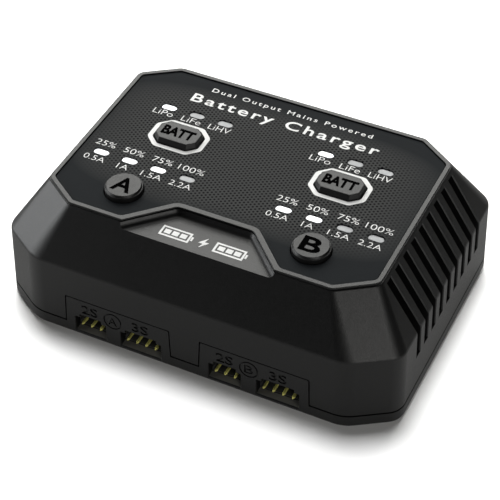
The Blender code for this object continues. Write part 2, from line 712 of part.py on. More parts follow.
def build_heat_sink(aluminium, black):
    """A finned plate, and the transistor in front of it."""
    plate_x, fin_x = SINK_X
    front, back = SINK_Y
    top = DECK + SINK_HEIGHT
    plate = box((plate_x, front, DECK), (plate_x + SINK_THICK, back, top))
    sink = make("heat_sink", [plate], aluminium)
    fins = []
    for k in range(FIN_COUNT):
        y = front + k * FIN_PITCH
        fins.append(box((plate_x + SINK_THICK - 0.6, y, DECK), (fin_x, y + FIN_THICK, top)))
    add(sink, *fins)
    make("power_transistor", [box(TRANSISTOR_LOW, TRANSISTOR_HIGH)], black)


def build_power_parts(sleeve, aluminium, black, copper, ceramic):
    build_capacitors(sleeve)
    build_heat_sink(aluminium, black)
    make("mains_choke", [ring_shape(*CHOKE_CENTRE, CHOKE_RING_R, CHOKE_TUBE_R)], copper)
    tube = [(2.5, 0.0), (2.6, 0.2), (2.6, 4.5), (2.3, 4.5)]
    tube += [(2.3, 15.5), (2.6, 15.5), (2.6, 19.8), (2.5, 20.0)]
    make("fuse", [lying(FUSE_X, FUSE_Y, FUSE_Z, tube, 16)], ceramic)
    make("board_link", [box(LINK_LOW, LINK_HIGH)], black)


def ring_shape(x, y, z, ring_radius, tube_radius):
    """A wound ring core: a torus whose winding swells and thins along its length."""
    around, section = 36, 10
    points, faces = [], []
    for k in range(around):
        angle = 2 * pi * k / around
        thick = tube_radius * (0.94 + 0.06 * cos(CHOKE_TURNS * angle))
        for j in range(section):
            tilt = 2 * pi * j / section
            out = ring_radius + thick * cos(tilt)
            points.append((x + out * cos(angle), y + out * sin(angle), z + thick * sin(tilt)))
            here, beyond, next_j = k * section, (k + 1) % around * section, (j + 1) % section
            faces.append((here + j, beyond + j, beyond + next_j, here + next_j))
    return points, faces


def main():
    clear_scene()
    bpy.context.scene.unit_settings.scale_length = 1.0
    black_case = material("black_case", (0.020, 0.020, 0.022), 0.55)
    panel_grey = material("panel_grey", (0.045, 0.047, 0.052), 0.45)
    button_grey = material("button_grey", (0.10, 0.10, 0.105), 0.5)
    clear_white = material("clear_white", (0.75, 0.77, 0.80), 0.3)
    black_plastic = material("black_plastic", (0.015, 0.015, 0.016), 0.6)
    rubber = material("rubber", (0.03, 0.03, 0.03), 0.9)
    steel = material("steel", (0.35, 0.35, 0.36), 0.35, 1.0)
    brass = material("brass", (0.83, 0.68, 0.20), 0.3, 1.0)
    green = material("board_green", (0.02, 0.16, 0.07), 0.5)
    ferrite = material("ferrite", (0.07, 0.07, 0.075), 0.7)
    tape = material("yellow_tape", (0.85, 0.65, 0.08), 0.5)
    sleeve = material("capacitor_sleeve", (0.03, 0.04, 0.10), 0.4)
    aluminium = material("aluminium", (0.75, 0.75, 0.76), 0.4, 1.0)
    copper = material("copper_wire", (0.72, 0.30, 0.12), 0.35, 1.0)
    ceramic = material("fuse_ceramic", (0.85, 0.84, 0.80), 0.4)
    build_upper_case(black_case)
    build_lower_case(black_case)
    build_panel(panel_grey)
    build_feet_and_screws(rubber, steel)
    build_controls(button_grey, clear_white, black_plastic, steel)
    build_sockets(black_plastic, brass)
    build_inlet(black_plastic, steel)
    build_main_board(green)
    build_control_board(green)
    build_transformer(ferrite, tape)
    build_power_parts(sleeve, aluminium, black_plastic, copper, ceramic)


main()
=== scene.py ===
"""Looks of the balance battery charger: its visible shells, printing and lights, and the studio round it.

Sizes are in millimetres and are turned into metres where an object is made.
"""

from math import asin, cos, pi, radians, sin, tan

import bmesh
import bpy
from mathutils import Matrix, Vector


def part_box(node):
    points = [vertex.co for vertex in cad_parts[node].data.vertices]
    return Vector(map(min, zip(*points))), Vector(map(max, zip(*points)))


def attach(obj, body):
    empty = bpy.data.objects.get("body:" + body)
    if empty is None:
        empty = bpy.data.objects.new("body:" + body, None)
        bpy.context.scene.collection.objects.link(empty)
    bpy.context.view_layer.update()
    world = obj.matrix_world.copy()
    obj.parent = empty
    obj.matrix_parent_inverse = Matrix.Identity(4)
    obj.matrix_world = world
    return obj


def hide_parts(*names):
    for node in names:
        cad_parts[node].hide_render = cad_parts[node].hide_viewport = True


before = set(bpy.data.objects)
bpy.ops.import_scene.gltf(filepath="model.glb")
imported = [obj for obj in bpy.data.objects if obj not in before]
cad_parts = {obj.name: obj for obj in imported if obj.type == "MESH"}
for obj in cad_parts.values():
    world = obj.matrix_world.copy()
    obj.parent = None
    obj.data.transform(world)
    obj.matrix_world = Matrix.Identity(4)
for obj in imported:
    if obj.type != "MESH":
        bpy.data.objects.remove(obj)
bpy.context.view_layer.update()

MM = 0.001
GAP = 0.3
CASE_BODY = "charger_body"
CHANNELS = (("a", -1), ("b", 1))
FOUR = ((-1, -1), (1, -1), (1, 1), (-1, 1))


def node_box(name):
    """Lowest and highest corner of a CAD node, in mm."""
    low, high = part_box(name)
    return low / MM, high / MM


def node_centre(name):
    low, high = node_box(name)
    return (low + high) / 2


# Case: octagons (half x, half y, corner leg x, corner leg y) at the base, the belt and the shoulder.
BASE_Z, SEAM_Z, BELT_Z, SHOULDER_Z = 0.8, 4.2, 21.5, 35.0
BASE = (52.1, 36.9, 11.3, 7.35)
BELT = (51.45, 36.35, 11.1, 7.2)
SHOULDER = (42.65, 28.95, 9.1, 6.3)
WALL_CORNERS = (5.0, 9.0, 9.0, 5.0) * 2
SHOULDER_CORNER = 2.6
CORNER_STEPS = 8
WALL = 2.2
FLOOR_TOP = 2.6
CEILING_Z = 31.9

RIM = (42.5, 28.8, 9.1, 6.3)
RIM_TOP = 35.45
RIM_WIDTH = 1.15
POCKET_Z = 34.05
PANEL_BOTTOM, PANEL_TOP = node_box("top_panel")[0].z, node_box("top_panel")[1].z
NOTCH_BACK_Y, NOTCH_HALF_X = -19.25, 9.8
NOTCH_FLOOR_Z = 33.5
NOTCH_RIM = 1.45
NOTCH_RADIUS = 2.2
NOTCH_LEDGE_Z = 34.8
NOTCH_SLOPE = 60.0
NOTCH_FILLET = 1.7
NOTCH_EDGE = 0.2
NOTCH_GROOVE = (0.4, 0.35)

VENT_COUNT, VENT_PITCH, VENT_WIDTH = 9, 4.82, 2.2
VENT_LOW_Z, VENT_HIGH_Z, VENT_DEPTH = 13.5, 34.05, 3.3
VENT_CHAMFER = 0.22

# Top panel layout.
LEVEL_X, LEVEL_Y, LEVEL_COUNT = 24.25, -9.0, 4
CHEMISTRY_X, CHEMISTRY_Y, CHEMISTRY_COUNT = 21.3, 13.4, 3
LED_PITCH = 7.76
LED_HOLE = (4.15, 2.2)
LED_LENS = (4.0, 2.08)
LENS_TOP = node_box("level_light_pipe_a")[1].z
BATT_HOLE = (6.1, 4.15, 2.25, 2.1)
ROUND_HOLE_R = 4.85
BATT_TOP = node_box("batt_button_a")[1].z
ROUND_TOP = node_box("channel_button_a")[1].z
FLANGE_BOTTOM, FLANGE_TOP = 30.9, 31.6
STEM_BOTTOM = 29.0

# Balance sockets: (name, x from the channel's centre, ways).
CHANNEL_X = 18.0
SOCKETS = (("2s", 3), ("3s", 4))
PIN_PITCH = 2.5
WINDOW_EXTRA = 3.4
WINDOW_LOW, WINDOW_STEP, WINDOW_HIGH = 2.05, 6.6, 7.6
WINDOW_SHOULDER = 1.3
SOCKET_FRONT, SOCKET_BACK, SOCKET_LOW, SOCKET_WALL = -34.35, -26.5, 1.85, 0.75
TONGUE_HALF, TONGUE_HALF_TOP, TONGUE_TOP, TONGUE_RADIUS = 14.3, 13.8, 12.3, 0.35
LIP_HEIGHT, LIP_THICK = 2.6, 1.2

INLET_X, INLET_Z = node_centre("inlet_body").x, node_centre("inlet_body").z
INLET_HALF_X, INLET_HALF_Z = 10.1, 5.4
INLET_FRONT, INLET_BACK, INLET_FLOOR = 36.2, 20.5, 24.0
INLET_PIN_X, INLET_PIN_R = 4.3, 1.2
INLET_LOBE_R, INLET_WAIST = 4.2, 3.2

SCREW = (41.5, 12.05)
FOOT, FOOT_R = (41.5, 26.5), 5.0
MAIN_BOARD_LOW, MAIN_BOARD_HIGH = 8.5, 10.1
MAIN_POSTS = [(x, y) for y in (-20.0, 18.0) for x in (-35.3, 35.3)]
CONTROL_BOARD_LOW, CONTROL_BOARD_HIGH = 22.5, 24.1
CONTROL_POSTS = [(x, y) for y in (-15.8, 18.5) for x in (-35.3, 35.3)]

# ------------ shape helpers


def loft(rings):
    """A closed solid through rings of points, which all have the same count."""
    count = len(rings[0])
    points = [point for ring in rings for point in ring]
    faces = [tuple(range(count)), tuple(range(len(points) - count, len(points)))]
    for start in range(0, len(points) - count, count):
        for index in range(count):
            here, following = start + index, start + (index + 1) % count
            faces.append((here, following, count + following, count + here))
    return points, faces


def at_height(outline, z):
    return [(x, y, z) for x, y in outline]


def prism(outline, low, high):
    return loft([at_height(outline, low), at_height(outline, high)])


def along_y(outline, y):
    return [(x, y, z) for x, z in outline]


def prism_along_y(outline, low, high):
    return loft([along_y(outline, low), along_y(outline, high)])


def box(low, high):
    outline = [(low[0], low[1]), (high[0], low[1]), (high[0], high[1]), (low[0], high[1])]
    return prism(outline, low[2], high[2])


def circle(x, y, radius, count):
    angles = [2 * pi * k / count for k in range(count)]
    return [(x + radius * cos(angle), y + radius * sin(angle)) for angle in angles]


def turned(x, y, profile, count=32):
    """A solid of revolution about a vertical line through (x, y), from (radius, z) pairs."""
    return loft([at_height(circle(x, y, radius, count), z) for radius, z in profile])


def turned_four(place, profile, count=32):
    """The solid of revolution at the place and at its three mirror images."""
    return [turned(x * place[0], y * place[1], profile, count) for x, y in FOUR]


def square(half):
    return [(half * x, half * y) for x, y in FOUR]


def corners_of(outline):
    """Each corner of the outline between its neighbours, as (before, here, after) vectors."""
    points = [Vector(point) for point in outline]
    return zip(points[-1:] + points[:-1], points, points[1:] + points[:1])


def chamfered(outline, distance):
    """The outline with each corner cut off at the distance."""
    points = []
    for before, here, after in corners_of(outline):
        for other in (before, after):
            points.append(tuple(here + (other - here).normalized() * distance))
    return points


def shifted(outline, x, y):
    return [(px + x, py + y) for px, py in outline]


def blend(weights, points):
    """The weighted sum of the points."""
    return tuple(sum(w * point[axis] for w, point in zip(weights, points)) for axis in range(3))


def eased(start, middle, end, steps=3):
    """Rings that round off the edge at middle, on a curve from start to end."""
    rings = []
    for step in range(steps + 1):
        t = step / steps
        weights = ((1 - t) ** 2, 2 * t * (1 - t), t**2)
        rings.append([blend(weights, trio) for trio in zip(start, middle, end)])
    return rings


def octagon(half_x, half_y, leg_x, leg_y):
    x, y = half_x - leg_x, half_y - leg_y
    front = [(-half_x, -y), (-x, -half_y), (x, -half_y), (half_x, -y)]
    return [(-px, -py) for px, py in front] + front


def inset(outline, distance):
    """The anticlockwise outline moved inwards by the distance, corner for corner."""
    result = []
    for before, here, after in corners_of(outline):
        edge_in = (here - before).normalized()
        edge_out = (after - here).normalized()
        left = Vector((-edge_in.y - edge_out.y, edge_in.x + edge_out.x)).normalized()
        half_angle_cos = left.dot(Vector((-edge_in.y, edge_in.x)))
        result.append(tuple(here + left * distance / half_angle_cos))
    return result


def rounded(outline, radii, steps=CORNER_STEPS):
    """The outline with an arc of steps + 1 points at each corner; radii is one radius or a list."""
    points = []
    if not isinstance(radii, list):
        radii = [radii] * len(outline)
    for (before, here, after), radius in zip(corners_of(outline), radii):
        to_before = (before - here).normalized()
        to_after = (after - here).normalized()
        half = to_before.angle(to_after) / 2
        centre = here + (to_before + to_after).normalized() * radius / sin(half)
        start = here + to_before * radius / tan(half) - centre
        sweep = start.angle_signed(here + to_after * radius / tan(half) - centre)
        for step in range(steps + 1):
            angle = -sweep * step / steps
            across = start.x * cos(angle) - start.y * sin(angle)
            along = start.x * sin(angle) + start.y * cos(angle)
            points.append((centre.x + across, centre.y + along))
    return points


def pill(x, y, length, width, steps=12):
    """A slot outline with round ends."""
    radius = width / 2
    reach = length / 2 - radius
    points = []
    for side in (1, -1):
        for step in range(steps + 1):
            angle = side * (pi * step / steps - pi / 2)
            points.append((x + side * reach + side * radius * cos(angle), y + radius * sin(angle)))
    return points


# ------------ objects


def new_object(name, mesh, finish=None):
    made = bpy.data.objects.new(name, mesh)
    bpy.context.scene.collection.objects.link(made)
    if finish:
        mesh.materials.append(finish)
    return made


def fill_mesh(mesh, bm):
    """Moves the contents of bm into the mesh, with every closed piece facing outwards."""
    bmesh.ops.recalc_face_normals(bm, faces=bm.faces)
    bm.to_mesh(mesh)
    bm.free()


def make(name, shapes, finish=None):
    """One object from a list of shapes."""
    bm = bmesh.new()
    for points, faces in shapes:
        corners = [bm.verts.new(Vector(point) * MM) for point in points]
        for face in faces:
            bm.faces.new([corners[index] for index in face])
    mesh = bpy.data.meshes.new(name)
    fill_mesh(mesh, bm)
    return new_object(name, mesh, finish)


def evaluated_mesh(target):
    graph = bpy.context.evaluated_depsgraph_get()
    return bpy.data.meshes.new_from_object(target.evaluated_get(graph))


def baked(target):
    """The object with its modifiers applied and their helper objects removed."""
    mesh = evaluated_mesh(target)
    helpers = [step.object for step in target.modifiers if step.type == "BOOLEAN"]
    target.modifiers.clear()
    target.data = mesh
    for helper in helpers:
        bpy.data.objects.remove(helper, do_unlink=True)
    return target


def combine(target, helper, operation, crossing):
    helper.hide_render = True
    step = target.modifiers.new(operation.title(), "BOOLEAN")
    step.operation = operation
    step.solver = "EXACT"
    step.use_self = crossing
    step.object = helper


def cut(target, *shapes):
    combine(target, make(f"{target.name}_cutter", list(shapes)), "DIFFERENCE", len(shapes) > 1)


def add(target, *shapes):
    combine(target, make(f"{target.name}_addition", list(shapes)), "UNION", len(shapes) > 1)


def smooth(target, angle=32.0):
    """Smooth shading that keeps sharp edges, with flat faces left flat beside their bevels."""
    mesh = target.data
    mesh.shade_smooth()
    mesh.set_sharp_from_angle(angle=radians(angle))
    step = target.modifiers.new("Even shading", "WEIGHTED_NORMAL")
    step.keep_sharp = True
    step.weight = 50
    return baked(target)


def stand_for(piece, body, slot, *nodes):
    """The piece rides on the body and is shown instead of the CAD nodes; the slot is not used."""
    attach(piece, body)
    if nodes:
        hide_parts(*nodes)


# ------------ case outlines


def case_outline(z, distance=0.0):
    """The rounded octagon of the case's outside at height z, moved in by the distance."""
    if z <= BELT_Z:
        low, high, low_z, high_z = BASE, BELT, BASE_Z, BELT_Z
    else:
        low, high, low_z, high_z = BELT, SHOULDER, BELT_Z, SHOULDER_Z
    share = (z - low_z) / (high_z - low_z)
    sizes = [a + (b - a) * share for a, b in zip(low, high)]
    narrowing = max(z - BELT_Z, 0.0) / (SHOULDER_Z - BELT_Z)
    radii = [max(wide + (SHOULDER_CORNER - wide) * narrowing - distance, 0.6) for wide in WALL_CORNERS]
    return rounded(inset(octagon(*sizes), distance), radii)


def case_ring(z, distance=0.0):
    return at_height(case_outline(z, distance), z)


def rim_ring(z, distance=0.0):
    return at_height(rounded(inset(octagon(*RIM), distance), SHOULDER_CORNER - distance), z)


def notch_outline(distance, front_y=-33.0):
    """The recess in the front of the rim; the distance moves its edge outwards."""
    back_y = NOTCH_BACK_Y + distance
    half = NOTCH_HALF_X + distance * tan(radians(22.5))
    reach = back_y - front_y
    corners = [(half, back_y), (-half, back_y), (-half - reach, front_y), (half + reach, front_y)]
    radius = NOTCH_RADIUS + distance
    return rounded(corners, [radius, radius, 0.2, 0.2])


def panel_outline(distance):
    """The opening inside the rim, with the recess cut out of its front edge."""
    ring = inset(octagon(*RIM), RIM_WIDTH + distance)
    front_y = ring[5][1]
    edge = NOTCH_RIM + distance
    back_y = NOTCH_BACK_Y + edge
    half = NOTCH_HALF_X + edge * tan(radians(22.5))
    foot = half + back_y - front_y
    corners = ring[:6] + [(-foot, front_y), (-half, back_y), (half, back_y), (foot, front_y)] + ring[6:]
    outside, inside = 1.5 - distance / 2, NOTCH_RADIUS + edge
    radii = [outside] * 6 + [NOTCH_RADIUS, inside, inside, NOTCH_RADIUS] + [outside] * 2
    return rounded(corners, radii)


def led_places(side):
    """Centres of the light windows of one channel: the level row, then the chemistry row."""
    level = [(side * LEVEL_X + (k - 1.5) * LED_PITCH, LEVEL_Y) for k in range(LEVEL_COUNT)]
    chemistry = [(side * CHEMISTRY_X + (k - 1) * LED_PITCH, CHEMISTRY_Y) for k in range(CHEMISTRY_COUNT)]
    return level, chemistry


def flared(outline_at, low, top, flare):
    """A cutter that opens out by the flare as it passes the surface at height top."""
    narrow, wide = outline_at(0.0), outline_at(flare)
    edge = eased(at_height(narrow, top - flare), at_height(narrow, top), at_height(wide, top + 0.01))
    return loft([at_height(narrow, low)] + edge + [at_height(wide, top + 5.0)])


def top_holes(extra, low, top, flare):
    """Every opening for a window or a button, wider by the extra than the part that shows in it."""
    holes = []
    for channel, side in CHANNELS:
        batt, button = node_centre(f"batt_button_{channel}"), node_centre(f"channel_button_{channel}")

        def batt_outline(d):
            outline = inset(octagon(*BATT_HOLE), -extra / 2 - d)
            return shifted(rounded(outline, 1.0 + d, 5), batt.x, batt.y)

        def round_outline(d):
            return circle(button.x, button.y, ROUND_HOLE_R + extra / 2 + d, 64)

        level, chemistry = led_places(side)
        length, width = LED_HOLE[0] + extra, LED_HOLE[1] + extra
        for x, y in level + chemistry:
            holes.append(flared(lambda d: pill(x, y, length + 2 * d, width + 2 * d), low, top, flare))
        holes += [flared(outline, low, top, flare) for outline in (batt_outline, round_outline)]
    return holes


def tongue_outline(clearance):
    """A tongue of the tray in the front wall, as (x, z) about the channel's centre."""
    foot, head, top = TONGUE_HALF + clearance, TONGUE_HALF_TOP + clearance, TONGUE_TOP + clearance
    corners = [(-foot, 0), (foot, 0), (head, top), (-head, top)]
    return rounded(corners, [0.2, 0.2, TONGUE_RADIUS, TONGUE_RADIUS])


def tongues(clearance):
    """The two front tongues and the rear one under the mains inlet."""
    shapes = [
        prism_along_y(shifted(tongue_outline(clearance), side * CHANNEL_X, 0), -45.0, -30.0)
        for _, side in CHANNELS
    ]
    half = INLET_HALF_X + GAP + clearance
    shapes.append(box((INLET_X - half, 30.0, 0.0), (INLET_X + half, 45.0, INLET_Z - INLET_HALF_Z - GAP)))
    return shapes


def staked_post(x, y, base, board_side, far_side):
    """A post that a board rests on, with its melted head on the board's far side."""
    up = 1 if far_side > board_side else -1
    shoulder, head = board_side - up * GAP, far_side + up * GAP
    profile = [(2.5, base), (2.5, shoulder), (1.0, shoulder), (1.0, head), (1.7, head)]
    profile += [(1.6, far_side + up * (GAP + 0.5)), (1.2, far_side + up * (GAP + 0.8))]
    return turned(x, y, profile, 20)


# ------------ case shell


def case_profile():
    """Outside of the shell from the seam to the top of the rim, with every edge rounded."""
    low = SEAM_Z + GAP / 2
    rings = eased(case_ring(low, 0.3), case_ring(low), case_ring(low + 0.3))
    rings += eased(case_ring(BELT_Z - 0.45), case_ring(BELT_Z), case_ring(BELT_Z + 0.45), 6)
    rim_foot = rim_ring(SHOULDER_Z - 0.08, 0.02)
    rings += eased(case_ring(SHOULDER_Z - 0.3), case_ring(SHOULDER_Z - 0.05), rim_foot)
    rings += eased(rim_ring(RIM_TOP - 0.16, 0.04), rim_ring(RIM_TOP, 0.04), rim_ring(RIM_TOP, 0.2), 4)
    return rings


def notch_cutter():
    """The recess: a rounded lip, a shadow groove under it and a steep wall with a fillet to the floor."""
    slope, fillet = radians(NOTCH_SLOPE), NOTCH_FILLET
    foot = -(NOTCH_LEDGE_Z - NOTCH_FLOOR_Z) / tan(slope)
    centre = (foot - fillet * tan(slope / 2), NOTCH_FLOOR_Z + fillet)
    profile = []
    for step in range(9):
        angle = slope * step / 8
        profile.append((centre[0] + fillet * sin(angle), centre[1] - fillet * cos(angle)))
    groove, height = NOTCH_GROOVE
    profile += [(-0.06, NOTCH_LEDGE_Z - 0.10), (-0.02, NOTCH_LEDGE_Z - 0.02), (0.04, NOTCH_LEDGE_Z)]
    profile += [(groove, NOTCH_LEDGE_Z), (groove, NOTCH_LEDGE_Z + height), (0.0, NOTCH_LEDGE_Z + height)]
    edge = NOTCH_EDGE
    for step in range(5):
        angle = pi / 2 * step / 4
        profile.append((edge * (1 - cos(angle)), RIM_TOP - edge * (1 - sin(angle))))
    profile += [(edge, RIM_TOP + 0.01), (edge, 41.0)]
    return loft([at_height(notch_outline(distance), z) for distance, z in profile])


def vent_outline(depth, low_z, high_z):
    """The slot's depth profile as (x, z), following the sloping side and the wall below it."""
    run, rise = BELT[0] - SHOULDER[0], SHOULDER_Z - BELT_Z
    length = (run**2 + rise**2) ** 0.5
    inward = (-rise / length, -run / length)
    top_x = SHOULDER[0] + run * (SHOULDER_Z - high_z) / rise
    wall_x = BELT[0] + (BASE[0] - BELT[0]) * (BELT_Z - low_z) / (BELT_Z - BASE_Z)
    return [
        (62.0, low_z),
        (62.0, high_z + 2.0),
        (top_x - inward[0] * 2.0, high_z - inward[1] * 2.0),
        (top_x + inward[0] * depth, high_z + inward[1] * depth),
        (BELT[0] - depth, BELT_Z - 0.3 * depth),
        (wall_x - depth, low_z),
    ]


def vent_cutters():
    """Slots with a small chamfer round their mouths."""
    shapes = []
    half, edge = VENT_WIDTH / 2, VENT_CHAMFER
    mouth = vent_outline(-0.02, VENT_LOW_Z - edge, VENT_HIGH_Z + edge)
    throat = vent_outline(edge, VENT_LOW_Z, VENT_HIGH_Z)
    full = vent_outline(VENT_DEPTH, VENT_LOW_Z, VENT_HIGH_Z)
    levels = [(-half - edge, mouth), (-half, throat), (-half, full)]
    levels += [(-y, outline) for y, outline in reversed(levels)]
    for side in (-1, 1):
        for k in range(VENT_COUNT):
            centre = (k - (VENT_COUNT - 1) / 2) * VENT_PITCH
            shapes.append(loft([[(side * x, centre + y, z) for x, z in outline] for y, outline in levels]))
    return shapes


def build_shell(finish):
    shell = make("case_shell", [loft(case_profile())], finish)
    inner = [(SEAM_Z - 1.0, WALL), (BELT_Z - 0.7, WALL), (CEILING_Z, WALL + 0.5)]
    cut(shell, loft([case_ring(z, distance) for z, distance in inner]))
    posts = turned_four(SCREW, [(2.9, 6.6), (2.9, 32.0)])
    board = CONTROL_BOARD_HIGH, CONTROL_BOARD_LOW
    posts += [staked_post(x, y, CEILING_Z + 0.4, *board) for x, y in CONTROL_POSTS]
    add(shell, *posts)
    cut(shell, *tongues(GAP))
    half = INLET_HALF_X + GAP
    cut(shell, box((INLET_X - half, 30.0, 3.0), (INLET_X + half, 45.0, INLET_Z + INLET_HALF_Z + GAP)))
    cut(shell, *turned_four(SCREW, [(1.45, 5.0), (1.45, 15.5)], 20))
    cut(shell, flared(lambda d: panel_outline(-d), POCKET_Z, RIM_TOP, 0.06))
    cut(shell, notch_cutter())
    cut(shell, *top_holes(0.5, 28.0, POCKET_Z, 0.1))
    cut(shell, *vent_cutters())
    stand_for(smooth(baked(shell)), CASE_BODY, "case_black", "upper_case")


# ------------ case tray


def socket_places():
    """(centre x, ways) of the four balance sockets."""
    sockets = [(f"{channel}_{name}", ways) for channel, _ in CHANNELS for name, ways in SOCKETS]
    return [(node_centre(f"balance_socket_{name}").x, ways) for name, ways in sockets]


def window_outline(ways, grow=0.0):
    """The stepped opening of a balance socket, as (x, z) about its centre."""
    wide = ((ways - 1) * PIN_PITCH + WINDOW_EXTRA) / 2 + grow
    narrow = wide - WINDOW_SHOULDER
    low, step, high = WINDOW_LOW - grow, WINDOW_STEP + grow, WINDOW_HIGH + grow
    corners = [(-wide, low), (wide, low), (wide, step), (narrow, step), (narrow, high), (-narrow, high)]
    corners += [(-narrow, step), (-wide, step)]
    return rounded(corners, 0.15, 3)


def window_cutter(x, ways):
    """A socket window with a small chamfer where it meets the front face."""
    levels = [(-45.0, 0.22), (-36.86, 0.22), (-36.62, 0.0), (-34.0, 0.0)]
    return loft([along_y(shifted(window_outline(ways, grow), x, 0), y) for y, grow in levels])


def paint_sill_highlights(tray, sill_highlight):
    """Paints the upward sills of the socket windows lighter than the case black: a painted highlight
    standing in for the light that falls on them.
    """
    tray.data.materials.append(sill_highlight)
    places = socket_places()
    for face in tray.data.polygons:
        x, y, z = face.center / MM
        if y > SOCKET_FRONT or abs(z - WINDOW_LOW) > 0.2 or face.normal.z < 0.9:
            continue
        if any(abs(x - centre) < (ways * PIN_PITCH + 1.1) / 2 for centre, ways in places):
            # painted highlight: the sill faces get the lighter grey
            face.material_index = 1


def build_tray(finish, sill_highlight):
    rings = eased(case_ring(BASE_Z, 0.8), case_ring(BASE_Z), case_ring(BASE_Z + 0.8), 6) + [case_ring(14.0)]
    tray = make("case_tray", [loft(rings)], finish)
    cut(tray, loft([case_ring(FLOOR_TOP, WALL), case_ring(15.0, WALL)]))
    above = make("above_seam", [box((-60, -45, SEAM_Z - GAP / 2), (60, 45, 20))])
    cut(above, *tongues(0.0))
    combine(tray, baked(above), "DIFFERENCE", False)
    add(tray, *lip_segments())
    shapes = turned_four(SCREW, [(4.2, 1.5), (4.2, 6.3)])
    shapes += [staked_post(x, y, 2.0, MAIN_BOARD_LOW, MAIN_BOARD_HIGH) for x, y in MAIN_POSTS]
    shapes.append(box((INLET_X - 8, 22.0, 2.0), (INLET_X + 8, 30.0, INLET_Z - INLET_HALF_Z - GAP)))
    add(tray, *shapes)
    screw_hole = [(3.2, 0.0), (3.2, 0.8), (2.9, 1.05), (2.9, 3.3), (1.5, 3.3), (1.5, 8.0)]
    cut(tray, *turned_four(SCREW, screw_hole, 40))
    cut(tray, *turned_four(FOOT, [(FOOT_R + GAP, 0), (FOOT_R + GAP, 1.7)], 56))
    for x, ways in socket_places():
        cut(tray, window_cutter(x, ways))
        half = ((ways - 1) * PIN_PITCH + WINDOW_EXTRA) / 2 + SOCKET_WALL + GAP
        cut(tray, box((x - half, SOCKET_FRONT - GAP, SOCKET_LOW - GAP), (x + half, SOCKET_BACK + GAP, 9.0)))
    engrave_tongues(tray)
    paint_sill_highlights(baked(tray), sill_highlight)
    stand_for(smooth(tray), CASE_BODY, "case_black", "lower_case")


def lip_segments():
    """The locating lip inside the seam: one length on each side and two at the back."""
    top = SEAM_Z + LIP_HEIGHT
    side_x = BASE[0] - WALL - GAP - LIP_THICK
    back_y = BASE[1] - WALL - GAP - LIP_THICK
    shapes = [box((x, -22.0, 2.0), (x + LIP_THICK, 22.0, top)) for x in (side_x, -side_x - LIP_THICK)]
    shapes += [box((x, back_y, 2.0), (x + 14.0, back_y + LIP_THICK, top)) for x in (0.0, 22.0)]
    return shapes


# ------------ lettering


def lettering(name, words, width, height, depth, weight=0.0, spacing=1.0):
    """A closed solid of generic lettering that faces +Z, centred and stretched to the size given."""
    curve = bpy.data.curves.new(name, "FONT")
    curve.body = words
    curve.size = 1.0
    curve.space_character = spacing
    curve.offset = weight
    curve.resolution_u = 6
    curve.extrude = 0.5
    source = new_object(f"{name}_source", curve)
    bpy.context.view_layer.update()
    mesh = evaluated_mesh(source)
    bpy.data.objects.remove(source, do_unlink=True)
    reaches = [(min(values), max(values)) for values in zip(*[vertex.co for vertex in mesh.vertices])]
    stretch = [size * MM / (high - low) for size, (low, high) in zip((width, height, depth), reaches)]
    middle = Matrix.Translation([-(low + high) / 2 for low, high in reaches])
    mesh.transform(Matrix.Diagonal(stretch + [1.0]) @ middle)
    bm = bmesh.new()
    bm.from_mesh(mesh)
    bmesh.ops.remove_doubles(bm, verts=bm.verts, dist=1e-6)
    fill_mesh(mesh, bm)
    mesh.name = name
    mesh.materials.clear()
    return new_object(name, mesh)


INK = 0.03
SIGN_LOW, SIGN_HIGH = NOTCH_FLOOR_Z + INK / 2, NOTCH_FLOOR_Z + INK * 1.5
ENGRAVE_DEPTH = 0.35
MARK_Z, CIRCLE_Z, CIRCLE_X = 9.75, 9.1, -1.25


def front_wall_y(z):
    """Y of the front wall's outside at height z."""
    return -(BASE[1] + (BELT[1] - BASE[1]) * (z - BASE_Z) / (BELT_Z - BASE_Z))


def engrave(target, words, x, z, width, height, weight=0.0):
    """Cuts the words into the front wall, centred on (x, z)."""
    letters = lettering(f"mark_{words}", words, width, height, 2.0, weight)
    y = front_wall_y(z) + ENGRAVE_DEPTH - 1.0
    upright = Matrix.Rotation(radians(90), 4, "X")
    letters.data.transform(Matrix.Translation(Vector((x, y, z)) * MM) @ upright)
    combine(target, letters, "DIFFERENCE", False)


def engrave_tongues(tray):
    for channel, side in CHANNELS:
        for name, _ in SOCKETS:
            x = node_centre(f"balance_socket_{channel}_{name}").x
            engrave(tray, name.upper(), x, MARK_Z, 4.4, 2.8, 0.02)
        x = side * CHANNEL_X + CIRCLE_X
        y = front_wall_y(CIRCLE_Z) + ENGRAVE_DEPTH
        ring = make("channel_ring", [prism_along_y(circle(x, CIRCLE_Z, 2.45, 64), y - 2.0, y)])
        cut(ring, prism_along_y(circle(x, CIRCLE_Z, 2.08, 64), y - 3.0, y + 1.0))
        combine(tray, baked(ring), "DIFFERENCE", False)
        engrave(tray, channel.upper(), x, CIRCLE_Z, 2.2, 2.5)


def print_words(name, words, x, y, width, height, surface, finish, key=None, weight=0.0, spacing=1.0):
    """A thin printed layer of the words on the panel, or on the top of a button if key is its body."""
    letters = lettering(name, words, width, height, INK, weight, spacing)
    letters.data.transform(Matrix.Translation(Vector((x, y, surface + INK)) * MM))
    letters.data.materials.append(finish)
    stand_for(letters, key or CASE_BODY, "button_grey" if key else "panel_overlay")


# Labels beside the lights, in rows: (name, y from the lights, height, (words, width) for each light).
LEVEL_ROWS = (
    ("level", 3.1, 1.9, (("25%", 5.3), ("50%", 5.4), ("75%", 5.4), ("100%", 6.8))),
    ("current", -2.85, 1.8, (("0.5A", 5.6), ("1A", 2.9), ("1.5A", 5.4), ("2.2A", 5.7))),
)
CHEMISTRY_ROWS = (("chemistry", -2.6, 1.9, (("LiPo", 5.4), ("LiFe", 5.2), ("LiHV", 5.8))),)
LABEL_SHIFT = -0.35


